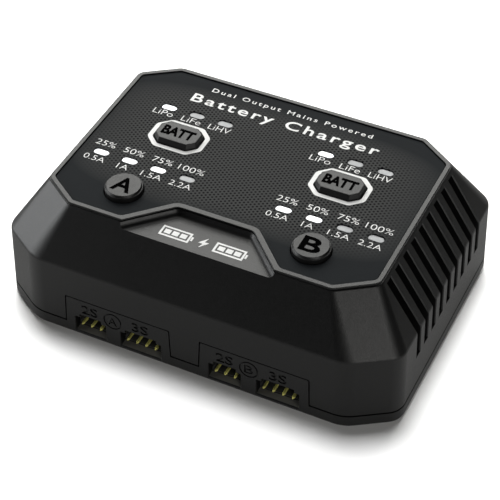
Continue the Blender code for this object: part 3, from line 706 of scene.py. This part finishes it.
def print_labels(channel, rows, places, white):
    for k, (x, y) in enumerate(places):
        for name, rise, height, labels in rows:
            words, width = labels[k]
            place = (x + LABEL_SHIFT, y + rise, width, height, PANEL_TOP, white)
            print_words(f"{name}_{channel}_{k}", words, *place, weight=-0.01)


def print_panel(white):
    """All the printing on the panel: headings, light labels and the outlines of the eight-sided buttons."""
    place = (-0.5, 23.9, 43.6, 1.95, PANEL_TOP, white)
    print_words("heading_small", "Dual Output Mains Powered", *place, weight=0.006, spacing=1.35)
    place = (-0.4, 19.05, 50.6, 4.3, PANEL_TOP, white)
    print_words("heading_large", "Battery Charger", *place, weight=0.014, spacing=1.25)
    for channel, side in CHANNELS:
        level, chemistry = led_places(side)
        print_labels(channel, LEVEL_ROWS, level, white)
        print_labels(channel, CHEMISTRY_ROWS, chemistry, white)
        print_button_outline(channel, white)


def print_button_outline(channel, white):
    """The white outline round an eight-sided button."""
    centre = node_centre(f"batt_button_{channel}")
    outer, inner = [
        shifted(rounded(inset(octagon(*BATT_HOLE), -grow), radius), centre.x, centre.y)
        for grow, radius in ((1.25, 1.6), (0.12, 1.1))
    ]
    surface = PANEL_TOP + INK / 2
    outline = make(f"button_outline_{channel}", [prism(outer, surface, surface + INK)], white)
    cut(outline, prism(inner, surface - 1.0, surface + 1.0))
    stand_for(baked(outline), CASE_BODY, "panel_overlay")


def battery_sign(x, y, length, height, line, gap=0.45):
    """Prisms of a battery outline with its terminal and three charge bars."""
    left, right = x - length / 2, x + length / 2
    bottom, top = y - height / 2, y + height / 2
    terminal = right + 0.15
    spans = [
        (left, right, bottom, bottom + line),
        (left, right, top - line, top),
        (left, left + line, bottom + line, top - line),
        (right - line, right, bottom + line, top - line),
        (terminal, terminal + line, y - height / 5, y + height / 5),
    ]
    bar = (length - 2 * line - 4 * gap) / 3
    for k in range(3):
        start = left + line + gap + k * (bar + gap)
        spans.append((start, start + bar, bottom + line + gap, top - line - gap))
    return [box((x0, y0, SIGN_LOW), (x1, y1, SIGN_HIGH)) for x0, x1, y0, y1 in spans]


def print_recess(white):
    """A generic sign on the recess floor: two batteries with a charging bolt between them."""
    x, y = 0.3, -25.9
    bolt = [(0.55, 1.85), (-1.25, -0.35), (-0.1, -0.35), (-0.55, -1.85), (1.25, 0.35), (0.1, 0.35)]
    parts = [prism(shifted(bolt, x, y), SIGN_LOW, SIGN_HIGH)]
    for side in (-1, 1):
        parts += battery_sign(x + side * 6.9 - 0.3, y, 7.6, 3.3, 0.5)
    stand_for(make("recess_sign", parts, white), CASE_BODY, "case_black")


# ------------ panel, buttons and lights


def build_panel(finish):
    def ring(z, distance=0.0):
        return at_height(panel_outline(GAP / 2 + distance), z)

    rings = [ring(PANEL_BOTTOM)] + eased(ring(PANEL_TOP - 0.12), ring(PANEL_TOP), ring(PANEL_TOP, 0.12))
    panel = make("panel_sheet", [loft(rings)], finish)
    cut(panel, *top_holes(0.0, 30.0, PANEL_TOP, 0.08))
    stand_for(smooth(baked(panel)), CASE_BODY, "panel_overlay", "top_panel")


def build_batt_button(channel, finish, ink):
    """Eight-sided button: stem, retaining flange, straight body, sloped facets and a flat top."""
    node, body_name = f"batt_button_{channel}", f"batt_key_{channel}"
    centre = node_centre(node)
    stem, flange = (1.8, 1.8, 0.9, 0.9), (7.3, 5.2, 3.1, 3.1)
    body, top = (5.8, 3.88, 2.0, 1.9), (5.48, 3.38, 1.7, 1.7)
    foot_z, head_z = PANEL_TOP + 0.25, BATT_TOP - 0.02

    def ring(sizes, z, radius=0.5):
        return at_height(shifted(rounded(octagon(*sizes), radius, 5), centre.x, centre.y), z)

    def between(share):
        sizes = [a + (b - a) * share for a, b in zip(body, top)]
        return ring(sizes, foot_z + (head_z - foot_z) * share)

    rings = [ring(stem, STEM_BOTTOM, 0.2), ring(stem, FLANGE_BOTTOM, 0.2)]
    rings += [ring(flange, FLANGE_BOTTOM), ring(flange, FLANGE_TOP), ring(body, FLANGE_TOP)]
    rings += eased(ring(body, foot_z - 0.25), ring(body, foot_z), between(0.15), 4)
    shrunk = [size - less for size, less in zip(top, (0.25, 0.25, 0.1, 0.1))]
    rings += eased(between(0.88), between(1.0), ring(shrunk, BATT_TOP), 4)
    cap = smooth(make(f"batt_cap_{channel}", [loft(rings)], finish), 50.0)
    stand_for(cap, body_name, "button_grey", node)
    place = (centre.x, centre.y, 8.5, 3.35, BATT_TOP, ink)
    print_words(f"batt_legend_{channel}", "BATT", *place, key=body_name, weight=0.042)


def build_round_button(channel, finish, ink):
    node, body_name = f"channel_button_{channel}", f"channel_key_{channel}"
    centre = node_centre(node)
    profile = [(1.75, STEM_BOTTOM), (1.75, FLANGE_BOTTOM), (5.75, FLANGE_BOTTOM), (5.75, FLANGE_TOP)]
    skirt = [(4.57, 0.74), (4.55, 0.65), (4.5, 0.6), (4.38, 0.58)]
    crown = [(4.31, 0.52), (4.14, 0.1), (4.09, 0.03), (4.0, 0.0)]
    profile += [(4.57, FLANGE_TOP)] + [(radius, ROUND_TOP - drop) for radius, drop in skirt + crown]
    cap = smooth(make(f"round_cap_{channel}", [turned(centre.x, centre.y, profile, 72)], finish))
    stand_for(cap, body_name, "button_grey", node)
    place = (centre.x, centre.y, 5.0, 4.9, ROUND_TOP, ink)
    print_words(f"round_legend_{channel}", channel.upper(), *place, key=body_name, weight=0.022)


def lens_rings(x, y):
    """One leg and lens of a light pipe, with a softly domed top."""
    length, width = LED_LENS
    rings = [at_height(pill(x, y, length, width), 25.4)]
    for drop, less in ((0.30, 0.0), (0.14, 0.04), (0.05, 0.16), (0.0, 0.45)):
        rings.append(at_height(pill(x, y, length - less, width - less), LENS_TOP - drop))
    return rings


def build_light_pipe(node, places, lit, clear, glowing):
    """A bar under the ceiling with a leg for each light; the first ones are lit."""
    (first_x, y), (last_x, _) = places[0], places[-1]
    bar = pill((first_x + last_x) / 2, y, last_x - first_x + 5.0, 2.6)
    pipe = make(node.replace("pipe", "lens"), [prism(bar, CEILING_Z - GAP - 1.3, CEILING_Z - GAP)], clear)
    add(pipe, *[loft(lens_rings(x, y)) for x, _ in places])
    baked(pipe)
    pipe.data.materials.append(glowing)
    for face in pipe.data.polygons:
        centre = face.center / MM
        nearest = min(range(len(places)), key=lambda k: abs(places[k][0] - centre.x))
        face.material_index = int(centre.z > CEILING_Z and nearest < lit)
    stand_for(smooth(pipe), CASE_BODY, "light_pipe", node)


LIT = {"level": {"a": 3, "b": 2}, "chemistry": {"a": 1, "b": 1}}


def build_controls(paint):
    for channel, side in CHANNELS:
        build_batt_button(channel, paint["button"], paint["black_ink"])
        build_round_button(channel, paint["button"], paint["black_ink"])
        for kind, places in zip(("level", "chemistry"), led_places(side)):
            node = f"{kind}_light_pipe_{channel}"
            build_light_pipe(node, places, LIT[kind][channel], paint["lens"], paint["lit_lens"])


# ------------ balance pins

PIN_HALF, PIN_CHAMFER = 0.32, 0.11


def build_pins(finish):
    """Square pins with chamfered edges and pointed tips, bent up to pass through the main board."""
    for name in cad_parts:
        if not name.startswith("balance_pin"):
            continue
        low, high = node_box(name)
        x, tip, leg = (low.x + high.x) / 2, low.y, high.y - PIN_HALF
        z, top = low.z + PIN_HALF, high.z

        def section(y, share):
            outline = chamfered(square(PIN_HALF * share), PIN_CHAMFER * share)
            return along_y(shifted(outline, x, z), y)

        rings = [section(tip, 0.45), section(tip + 0.45, 1.0), section(leg - 0.45, 1.0)]
        up = chamfered(square(PIN_HALF), PIN_CHAMFER)
        bend = [(x + px, leg + pz * 0.7 - 0.1, z + 0.1 + pz * 0.7) for px, pz in up]
        rings.append(bend)
        for height, share in ((z + 0.45, 1.0), (top - 0.3, 1.0), (top, 0.45)):
            rings.append([(x + px * share, leg - py * share, height) for px, py in up])
        pin = make(name.replace("balance_pin", "pin"), [loft(rings)], finish)
        stand_for(pin, CASE_BODY, "pin_brass", name)


# ------------ mains inlet


def inlet_outline(grow=0.0):
    """Two round lobes joined by a narrower waist, as (x, z) about the inlet's centre."""
    radius = INLET_LOBE_R + grow
    waist_angle = pi - asin((INLET_WAIST + grow) / radius)
    points = []
    for side in (1, -1):
        for step in range(33):
            angle = waist_angle * (step / 16 - 1)
            points.append((side * (INLET_PIN_X + radius * cos(angle)), side * radius * sin(angle)))
    return points


def build_inlet(finish):
    """The housing of the two-pole inlet, with a rounded front edge and mouth."""
    outline = [(x * INLET_HALF_X, z * INLET_HALF_Z) for x, z in FOUR]

    def ring(y, distance):
        return along_y(shifted(rounded(inset(outline, distance), 0.8 - distance, 6), INLET_X, INLET_Z), y)

    rings = [ring(INLET_BACK, 0.0)]
    rings += eased(ring(INLET_FRONT - 0.4, 0.0), ring(INLET_FRONT, 0.0), ring(INLET_FRONT, 0.4), 4)
    housing = make("inlet_housing", [loft(rings)], finish)
    mouth = [(INLET_FLOOR, 0.0), (INLET_FRONT - 0.5, 0.0), (INLET_FRONT - 0.12, 0.1)]
    mouth += [(INLET_FRONT + 0.01, 0.4), (40.0, 0.4)]
    cut(housing, loft([along_y(shifted(inlet_outline(grow), INLET_X, INLET_Z), y) for y, grow in mouth]))
    for x in (INLET_X - INLET_PIN_X, INLET_X + INLET_PIN_X):
        cut(housing, prism_along_y(circle(x, INLET_Z, INLET_PIN_R + 0.15, 32), 15, 30))
    stand_for(smooth(baked(housing)), CASE_BODY, "connector_black", "inlet_body")


# ------------ materials

# Places of the colour sockets in a Mix node, whose sockets share their names.
MIX_FACTOR, MIX_GROUND, MIX_COLOUR, MIX_RESULT = 0, 6, 7, 2


class Paint:
    """A material with short calls for its nodes."""

    def __init__(self, name, colour, roughness, metallic=0.0, **sockets):
        self.material = bpy.data.materials.new(name)
        self.material.use_nodes = True
        self.tree = self.material.node_tree
        self.shader = self.tree.nodes["Principled BSDF"]
        self.set("Base Color", (*colour, 1.0))
        self.set("Roughness", roughness)
        self.set("Metallic", metallic)
        for socket, value in sockets.items():
            self.set(socket.replace("_", " "), value)

    def set(self, socket, value):
        self.shader.inputs[socket].default_value = value

    def node(self, kind, **settings):
        made = self.tree.nodes.new(kind)
        for key, value in settings.items():
            if key in made.inputs:
                made.inputs[key].default_value = value
            else:
                setattr(made, key, value)
        return made

    def link(self, source, target):
        self.tree.links.new(source, target)

    def place(self):
        """Object coordinates, which are metres in the frame."""
        return self.node("ShaderNodeTexCoord").outputs["Object"]

    def noise(self, scale, detail=2.0, roughness=0.5):
        made = self.node("ShaderNodeTexNoise", Scale=scale, Detail=detail, Roughness=roughness)
        self.link(self.place(), made.inputs["Vector"])
        return made.outputs["Fac"]

    def ramp(self, source, low, high, at=(0.35, 0.65)):
        """Maps the source's middle range to two values or colours."""
        made = self.node("ShaderNodeValToRGB")
        for element, position, value in zip(made.color_ramp.elements, at, (low, high)):
            element.position = position
            element.color = (*value, 1.0) if isinstance(value, tuple) else (value, value, value, 1.0)
        self.link(source, made.inputs["Fac"])
        return made.outputs["Color"]

    def math(self, operation, *values):
        made = self.node("ShaderNodeMath", operation=operation)
        for socket, value in zip(made.inputs, values):
            if isinstance(value, (int, float)):
                socket.default_value = value
            else:
                self.link(value, socket)
        return made.outputs[0]

    def apart(self, source, middle):
        """How far the source is from the middle, on either side."""
        return self.math("ABSOLUTE", self.math("SUBTRACT", source, middle))

    def mixed(self, amount, ground, colour):
        """The ground colour with the other colour laid over it by the amount."""
        made = self.node("ShaderNodeMix", data_type="RGBA")
        self.link(amount, made.inputs[MIX_FACTOR])
        self.link(ground, made.inputs[MIX_GROUND])
        made.inputs[MIX_COLOUR].default_value = (*colour, 1.0)
        return made.outputs[MIX_RESULT]

    def vary(self, scale, low, high, socket="Base Color", detail=4.0):
        """Lets a socket wander between two values or colours, on a noise."""
        self.link(self.ramp(self.noise(scale, detail), low, high), self.shader.inputs[socket])

    def bump(self, height, distance, strength=1.0):
        made = self.node("ShaderNodeBump", Strength=strength, Distance=distance)
        self.link(height, made.inputs["Height"])
        self.link(made.outputs["Normal"], self.shader.inputs["Normal"])


def moulded(name, colour, roughness, grain=0.00004, scale=5200.0, spread=0.03, gloss=0.37):
    """Moulded plastic with a fine spark-eroded grain and slightly uneven gloss."""
    paint = Paint(name, colour, roughness, Specular_IOR_Level=gloss)
    paint.bump(paint.noise(scale, 3.0, 0.6), grain, 0.6)
    paint.vary(2600.0, roughness - spread, roughness + spread, "Roughness", 2.0)
    darker = tuple(channel * 0.85 for channel in colour)
    lighter = tuple(channel * 1.15 for channel in colour)
    paint.vary(60.0, darker, lighter)
    return paint.material


# Dot pattern of the panel, in metres: the repeat, and the middle and half size of the dotted area.
DOT_CELL, DOT_RADIUS = (0.00168, 0.001), 0.00029
DOTTED_Y, DOTTED_HALF = 0.002, (0.0455, 0.0225)
PANEL_GREY, PANEL_DOT = (0.055, 0.056, 0.056), (0.003, 0.003, 0.004)
PANEL_EDGE = (0.013, 0.015, 0.017)


def dotted_panel():
    """Grey printed sheet with staggered rows of dots, fading to plain near-black at its front and back."""
    paint = Paint("panel_sheet", PANEL_GREY, 0.6, Specular_IOR_Level=0.03)
    split = paint.node("ShaderNodeSeparateXYZ")
    paint.link(paint.place(), split.inputs[0])
    x, y = split.outputs["X"], split.outputs["Y"]

    def dot_distance(shift):
        squares = []
        for axis, pitch in zip((x, y), DOT_CELL):
            cell = paint.math("FRACT", paint.math("ADD", paint.math("DIVIDE", axis, pitch), 500.0 + shift))
            offset = paint.math("MULTIPLY", paint.math("SUBTRACT", cell, 0.5), pitch / DOT_RADIUS)
            squares.append(paint.math("POWER", offset, 2.0))
        return paint.math("SQRT", paint.math("ADD", *squares))

    nearest = paint.math("MINIMUM", dot_distance(0.0), dot_distance(0.5))
    dots = paint.ramp(paint.math("MULTIPLY", nearest, 0.5), 1.0, 0.0, (0.42, 0.58))
    reach_x = paint.math("DIVIDE", paint.math("ABSOLUTE", x), DOTTED_HALF[0])
    reach_y = paint.math("DIVIDE", paint.apart(y, DOTTED_Y), DOTTED_HALF[1])
    away = paint.math("ADD", paint.math("POWER", reach_x, 4.0), paint.math("POWER", reach_y, 4.0))
    fade = paint.ramp(away, 1.0, 0.0, (0.25, 0.95))
    amount = paint.math("MULTIPLY", dots, fade)
    ground = paint.ramp(away, PANEL_GREY, PANEL_EDGE, (0.2, 1.0))
    paint.link(paint.mixed(amount, ground, PANEL_DOT), paint.shader.inputs["Base Color"])
    paint.bump(amount, -0.00002, 0.5)
    return paint.material


def plain(name, colour, roughness, metallic=0.0, scale=400.0, spread=0.08, **sockets):
    """A finish with slight unevenness of gloss and colour."""
    paint = Paint(name, colour, roughness, metallic, **sockets)
    paint.vary(scale, roughness - spread, roughness + spread, "Roughness", 2.0)
    darker = tuple(channel * 0.88 for channel in colour)
    paint.vary(scale / 6, darker, colour)
    return paint.material


def glowing():
    """A lit lens: white light that varies a little in hue."""
    paint = Paint("lit_lens", (0.3,) * 3, 0.3, Emission_Strength=1.3)
    paint.vary(300.0, (0.94, 0.97, 1.0), (1.0, 1.0, 1.0), "Emission Color", 2.0)
    return paint.material


def circuit_board():
    """Green solder mask with lighter tracks on a fine grid."""
    paint = Paint("circuit_board", (0.015, 0.12, 0.05), 0.35)
    cells = paint.node("ShaderNodeTexVoronoi", Scale=420.0, feature="DISTANCE_TO_EDGE")
    cells.distance = "MANHATTAN"
    paint.link(paint.place(), cells.inputs["Vector"])
    tracks = paint.ramp(cells.outputs["Distance"], (0.03, 0.22, 0.09), (0.012, 0.10, 0.045), (0.03, 0.06))
    paint.link(tracks, paint.shader.inputs["Base Color"])
    return paint.material


def finishes():
    return {
        "case": moulded("textured_black_abs", (0.002, 0.002, 0.0021), 0.42),
        "button": moulded("button_abs", (0.0048, 0.0048, 0.0049), 0.46, 0.00003, 7000.0),
        "panel": dotted_panel(),
        "white_ink": plain("white_ink", (0.85,) * 3, 0.45),
        "black_ink": plain("black_ink", (0.002,) * 3, 0.9, Specular_IOR_Level=0.0),
        "lens": plain("milky_lens", (0.35, 0.36, 0.38), 0.35),
        "lit_lens": glowing(),
        "nylon": plain("black_nylon", (0.012,) * 3, 0.5, scale=900.0),
        "socket": plain("socket_nylon", (0.045,) * 3, 0.5, scale=900.0),
        # painted highlight: the window sills are case black, given this lighter grey to stand in for light
        # falling on them
        "sill": plain("sill_painted_highlight", (0.11, 0.107, 0.10), 0.6, scale=900.0),
        "brass": plain("gold_plated_brass", (0.72, 0.68, 0.20), 0.38, 0.55),
        "steel": plain("nickel_plated_steel", (0.55, 0.55, 0.54), 0.3, 1.0),
        "rubber": moulded("foot_rubber", (0.02,) * 3, 0.85, 0.00005, 3000.0),
        "board": circuit_board(),
        "ferrite": plain("ferrite", (0.06, 0.06, 0.065), 0.7, scale=2000.0),
        "tape": plain("yellow_tape", (0.80, 0.58, 0.06), 0.4),
        "sleeve": plain("capacitor_sleeve", (0.02, 0.03, 0.10), 0.35),
        "aluminium": plain("aluminium", (0.74, 0.74, 0.75), 0.35, 1.0, scale=1200.0),
        "copper": plain("enamelled_copper", (0.70, 0.28, 0.10), 0.3, 1.0, scale=2500.0),
        "ceramic": plain("fuse_ceramic", (0.82, 0.81, 0.77), 0.4),
    }


SWITCH_PARTS = ("batt_switch", "channel_switch", "batt_plunger", "channel_plunger")
NODE_FINISHES = {
    "socket": ("balance_socket",),
    "steel": ("inlet_pin", "case_screw"),
    "rubber": ("rubber_foot",),
    "board": ("main_board", "control_board"),
    "nylon": SWITCH_PARTS + ("board_link", "power_transistor"),
    "ferrite": ("transformer_core",),
    "tape": ("transformer_coil",),
    "sleeve": ("mains_capacitor", "output_capacitor"),
    "copper": ("mains_choke",),
    "aluminium": ("heat_sink",),
    "ceramic": ("fuse",),
}


def paint_nodes(paint):
    """Gives every CAD node that is shown its finish."""
    for finish, starts in NODE_FINISHES.items():
        for name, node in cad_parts.items():
            if name.startswith(starts):
                node.data.materials.clear()
                node.data.materials.append(paint[finish])


# ------------ stage

AZIMUTH, ELEVATION, ROLL = radians(26.067), radians(43.235), radians(-0.433)
CAMERA_PLACE = (128.2, -266.2, 287.43)
FOCAL_MM = 117.14
SHIFT = (0.0113, -0.0025)
LAMP_AIM = (0.0, 0.0, 0.02)
FLOOR_HALF = 4000.0
# Whiteness of the floor as seen, and its whiteness and glow as it lights and mirrors in the object.
FLOOR_WHITE, FLOOR_MIRRORED, FLOOR_GLOW = 0.93, 0.2, 0.18
# Painted shade on the floor behind the object, standing in for dark cards, with a gap in it, in metres: the
# gap's middle, and the soft edges; then the shade's strength.
SHADE_GAP_X, SHADE_SIDE_EDGE, SHADE_FRONT_EDGE, SHADE_STRENGTH = 0.085, (0.04, 0.12), (0.0, 0.06), 0.85


def add_camera():
    back = Vector((sin(AZIMUTH) * cos(ELEVATION), -cos(AZIMUTH) * cos(ELEVATION), sin(ELEVATION)))
    right = Vector((cos(AZIMUTH), sin(AZIMUTH), 0.0))
    up = back.cross(right)
    x_axis = right * cos(ROLL) + up * sin(ROLL)
    y_axis = up * cos(ROLL) - right * sin(ROLL)
    data = bpy.data.cameras.new("camera")
    data.lens = FOCAL_MM
    data.sensor_width = 36.0
    data.shift_x, data.shift_y = SHIFT
    data.clip_start = 0.01
    camera = new_object("camera", data)
    turn = Matrix((x_axis, y_axis, back)).transposed().to_4x4()
    camera.matrix_world = Matrix.Translation(Vector(CAMERA_PLACE) * MM) @ turn
    bpy.context.scene.camera = camera


def add_softbox(name, place, size, watts, colour=(1.0, 1.0, 1.0)):
    """A rectangular lamp at place, in metres, turned to face the object."""
    data = bpy.data.lights.new(name, "AREA")
    data.shape = "RECTANGLE"
    data.size, data.size_y = size
    data.energy = watts
    data.color = colour
    lamp = new_object(name, data)
    towards = Vector(LAMP_AIM) - Vector(place)
    lamp.matrix_world = Matrix.Translation(place) @ towards.to_track_quat("-Z", "Y").to_matrix().to_4x4()
    return lamp


def link_to_floor(lamp, floor, state):
    """Lets a lamp light only the floor (INCLUDE), or everything but the floor (EXCLUDE)."""
    receivers = bpy.data.collections.new(lamp.name + "_receivers")
    receivers.objects.link(floor)
    receivers.collection_objects[0].light_linking.link_state = state
    lamp.light_linking.receiver_collection = receivers


def camera_switch(tree, unseen, seen):
    """A value that differs between the stage as seen and the stage as it lights the object."""
    ray = tree.nodes.new("ShaderNodeLightPath")
    choice = tree.nodes.new("ShaderNodeMapRange")
    if isinstance(unseen, float):
        choice.inputs["To Min"].default_value = unseen
    else:
        tree.links.new(unseen, choice.inputs["To Min"])
    choice.inputs["To Max"].default_value = seen
    tree.links.new(ray.outputs["Is Camera Ray"], choice.inputs["Value"])
    return choice.outputs["Result"]


def add_floor():
    """A white sweep that reflects as a grey table, with painted shade behind the object in its reflections
    and its glow, standing in for black cards.
    """
    paint = Paint("floor", (FLOOR_WHITE,) * 3, 0.8, Emission_Color=(1, 1, 0.96, 1), Specular_IOR_Level=0.1)
    split = paint.node("ShaderNodeSeparateXYZ")
    paint.link(paint.place(), split.inputs[0])
    beside = paint.apart(split.outputs["X"], SHADE_GAP_X)
    behind = paint.ramp(split.outputs["Y"], 0.0, 1.0, SHADE_FRONT_EDGE)
    # painted shade: the floor darker behind the object, beside the gap, in reflections and in the light it
    # gives the object
    painted_shade = paint.math("MULTIPLY", paint.ramp(beside, 0.0, SHADE_STRENGTH, SHADE_SIDE_EDGE), behind)
    bare = paint.math("SUBTRACT", 1.0, painted_shade)
    albedo = camera_switch(paint.tree, paint.math("MULTIPLY", bare, FLOOR_MIRRORED), FLOOR_WHITE)
    glow = camera_switch(paint.tree, paint.math("MULTIPLY", bare, FLOOR_GLOW), 0.0)
    paint.link(albedo, paint.shader.inputs["Base Color"])
    paint.link(glow, paint.shader.inputs["Emission Strength"])
    floor = make("floor", [(at_height(square(FLOOR_HALF), 0.0), [(0, 1, 2, 3)])], paint.material)
    return floor


def add_world():
    """Pale behind the object for the camera, dim in reflections."""
    world = bpy.data.worlds.new("studio")
    bpy.context.scene.world = world
    world.use_nodes = True
    background = world.node_tree.nodes["Background"]
    background.inputs["Color"].default_value = (1.0, 1.0, 1.0, 1.0)
    world.node_tree.links.new(camera_switch(world.node_tree, 0.0, 1.0), background.inputs["Strength"])


def build_stage():
    add_camera()
    add_world()
    floor = add_floor()
    add_softbox("back_softbox", (-0.296, 0.607, 0.824), (1.2, 0.7), 6.9, (1.0, 1.0, 0.97))
    add_softbox("low_back_softbox", (-0.399, 0.817, 0.545), (1.2, 0.6), 11.9, (1.0, 1.0, 0.97))
    left = add_softbox("left_softbox", (-0.942, -0.288, 0.194), (0.7, 0.35), 6.9, (0.97, 0.99, 1.0))
    add_softbox("right_softbox", (0.749, -0.586, 0.329), (0.5, 0.4), 3.4, (1.0, 0.99, 0.96))
    sweep = add_softbox("sweep_softbox", (-0.13, 0.244, 1.2), (0.43, 0.42), 16.0)
    link_to_floor(left, floor, "EXCLUDE")
    link_to_floor(sweep, floor, "INCLUDE")
    bpy.context.scene.view_settings.view_transform = "Standard"


def main():
    paint = finishes()
    build_stage()
    build_shell(paint["case"])
    build_tray(paint["case"], paint["sill"])
    build_panel(paint["panel"])
    build_controls(paint)
    build_inlet(paint["nylon"])
    build_pins(paint["brass"])
    print_panel(paint["white_ink"])
    print_recess(paint["white_ink"])
    paint_nodes(paint)


main()
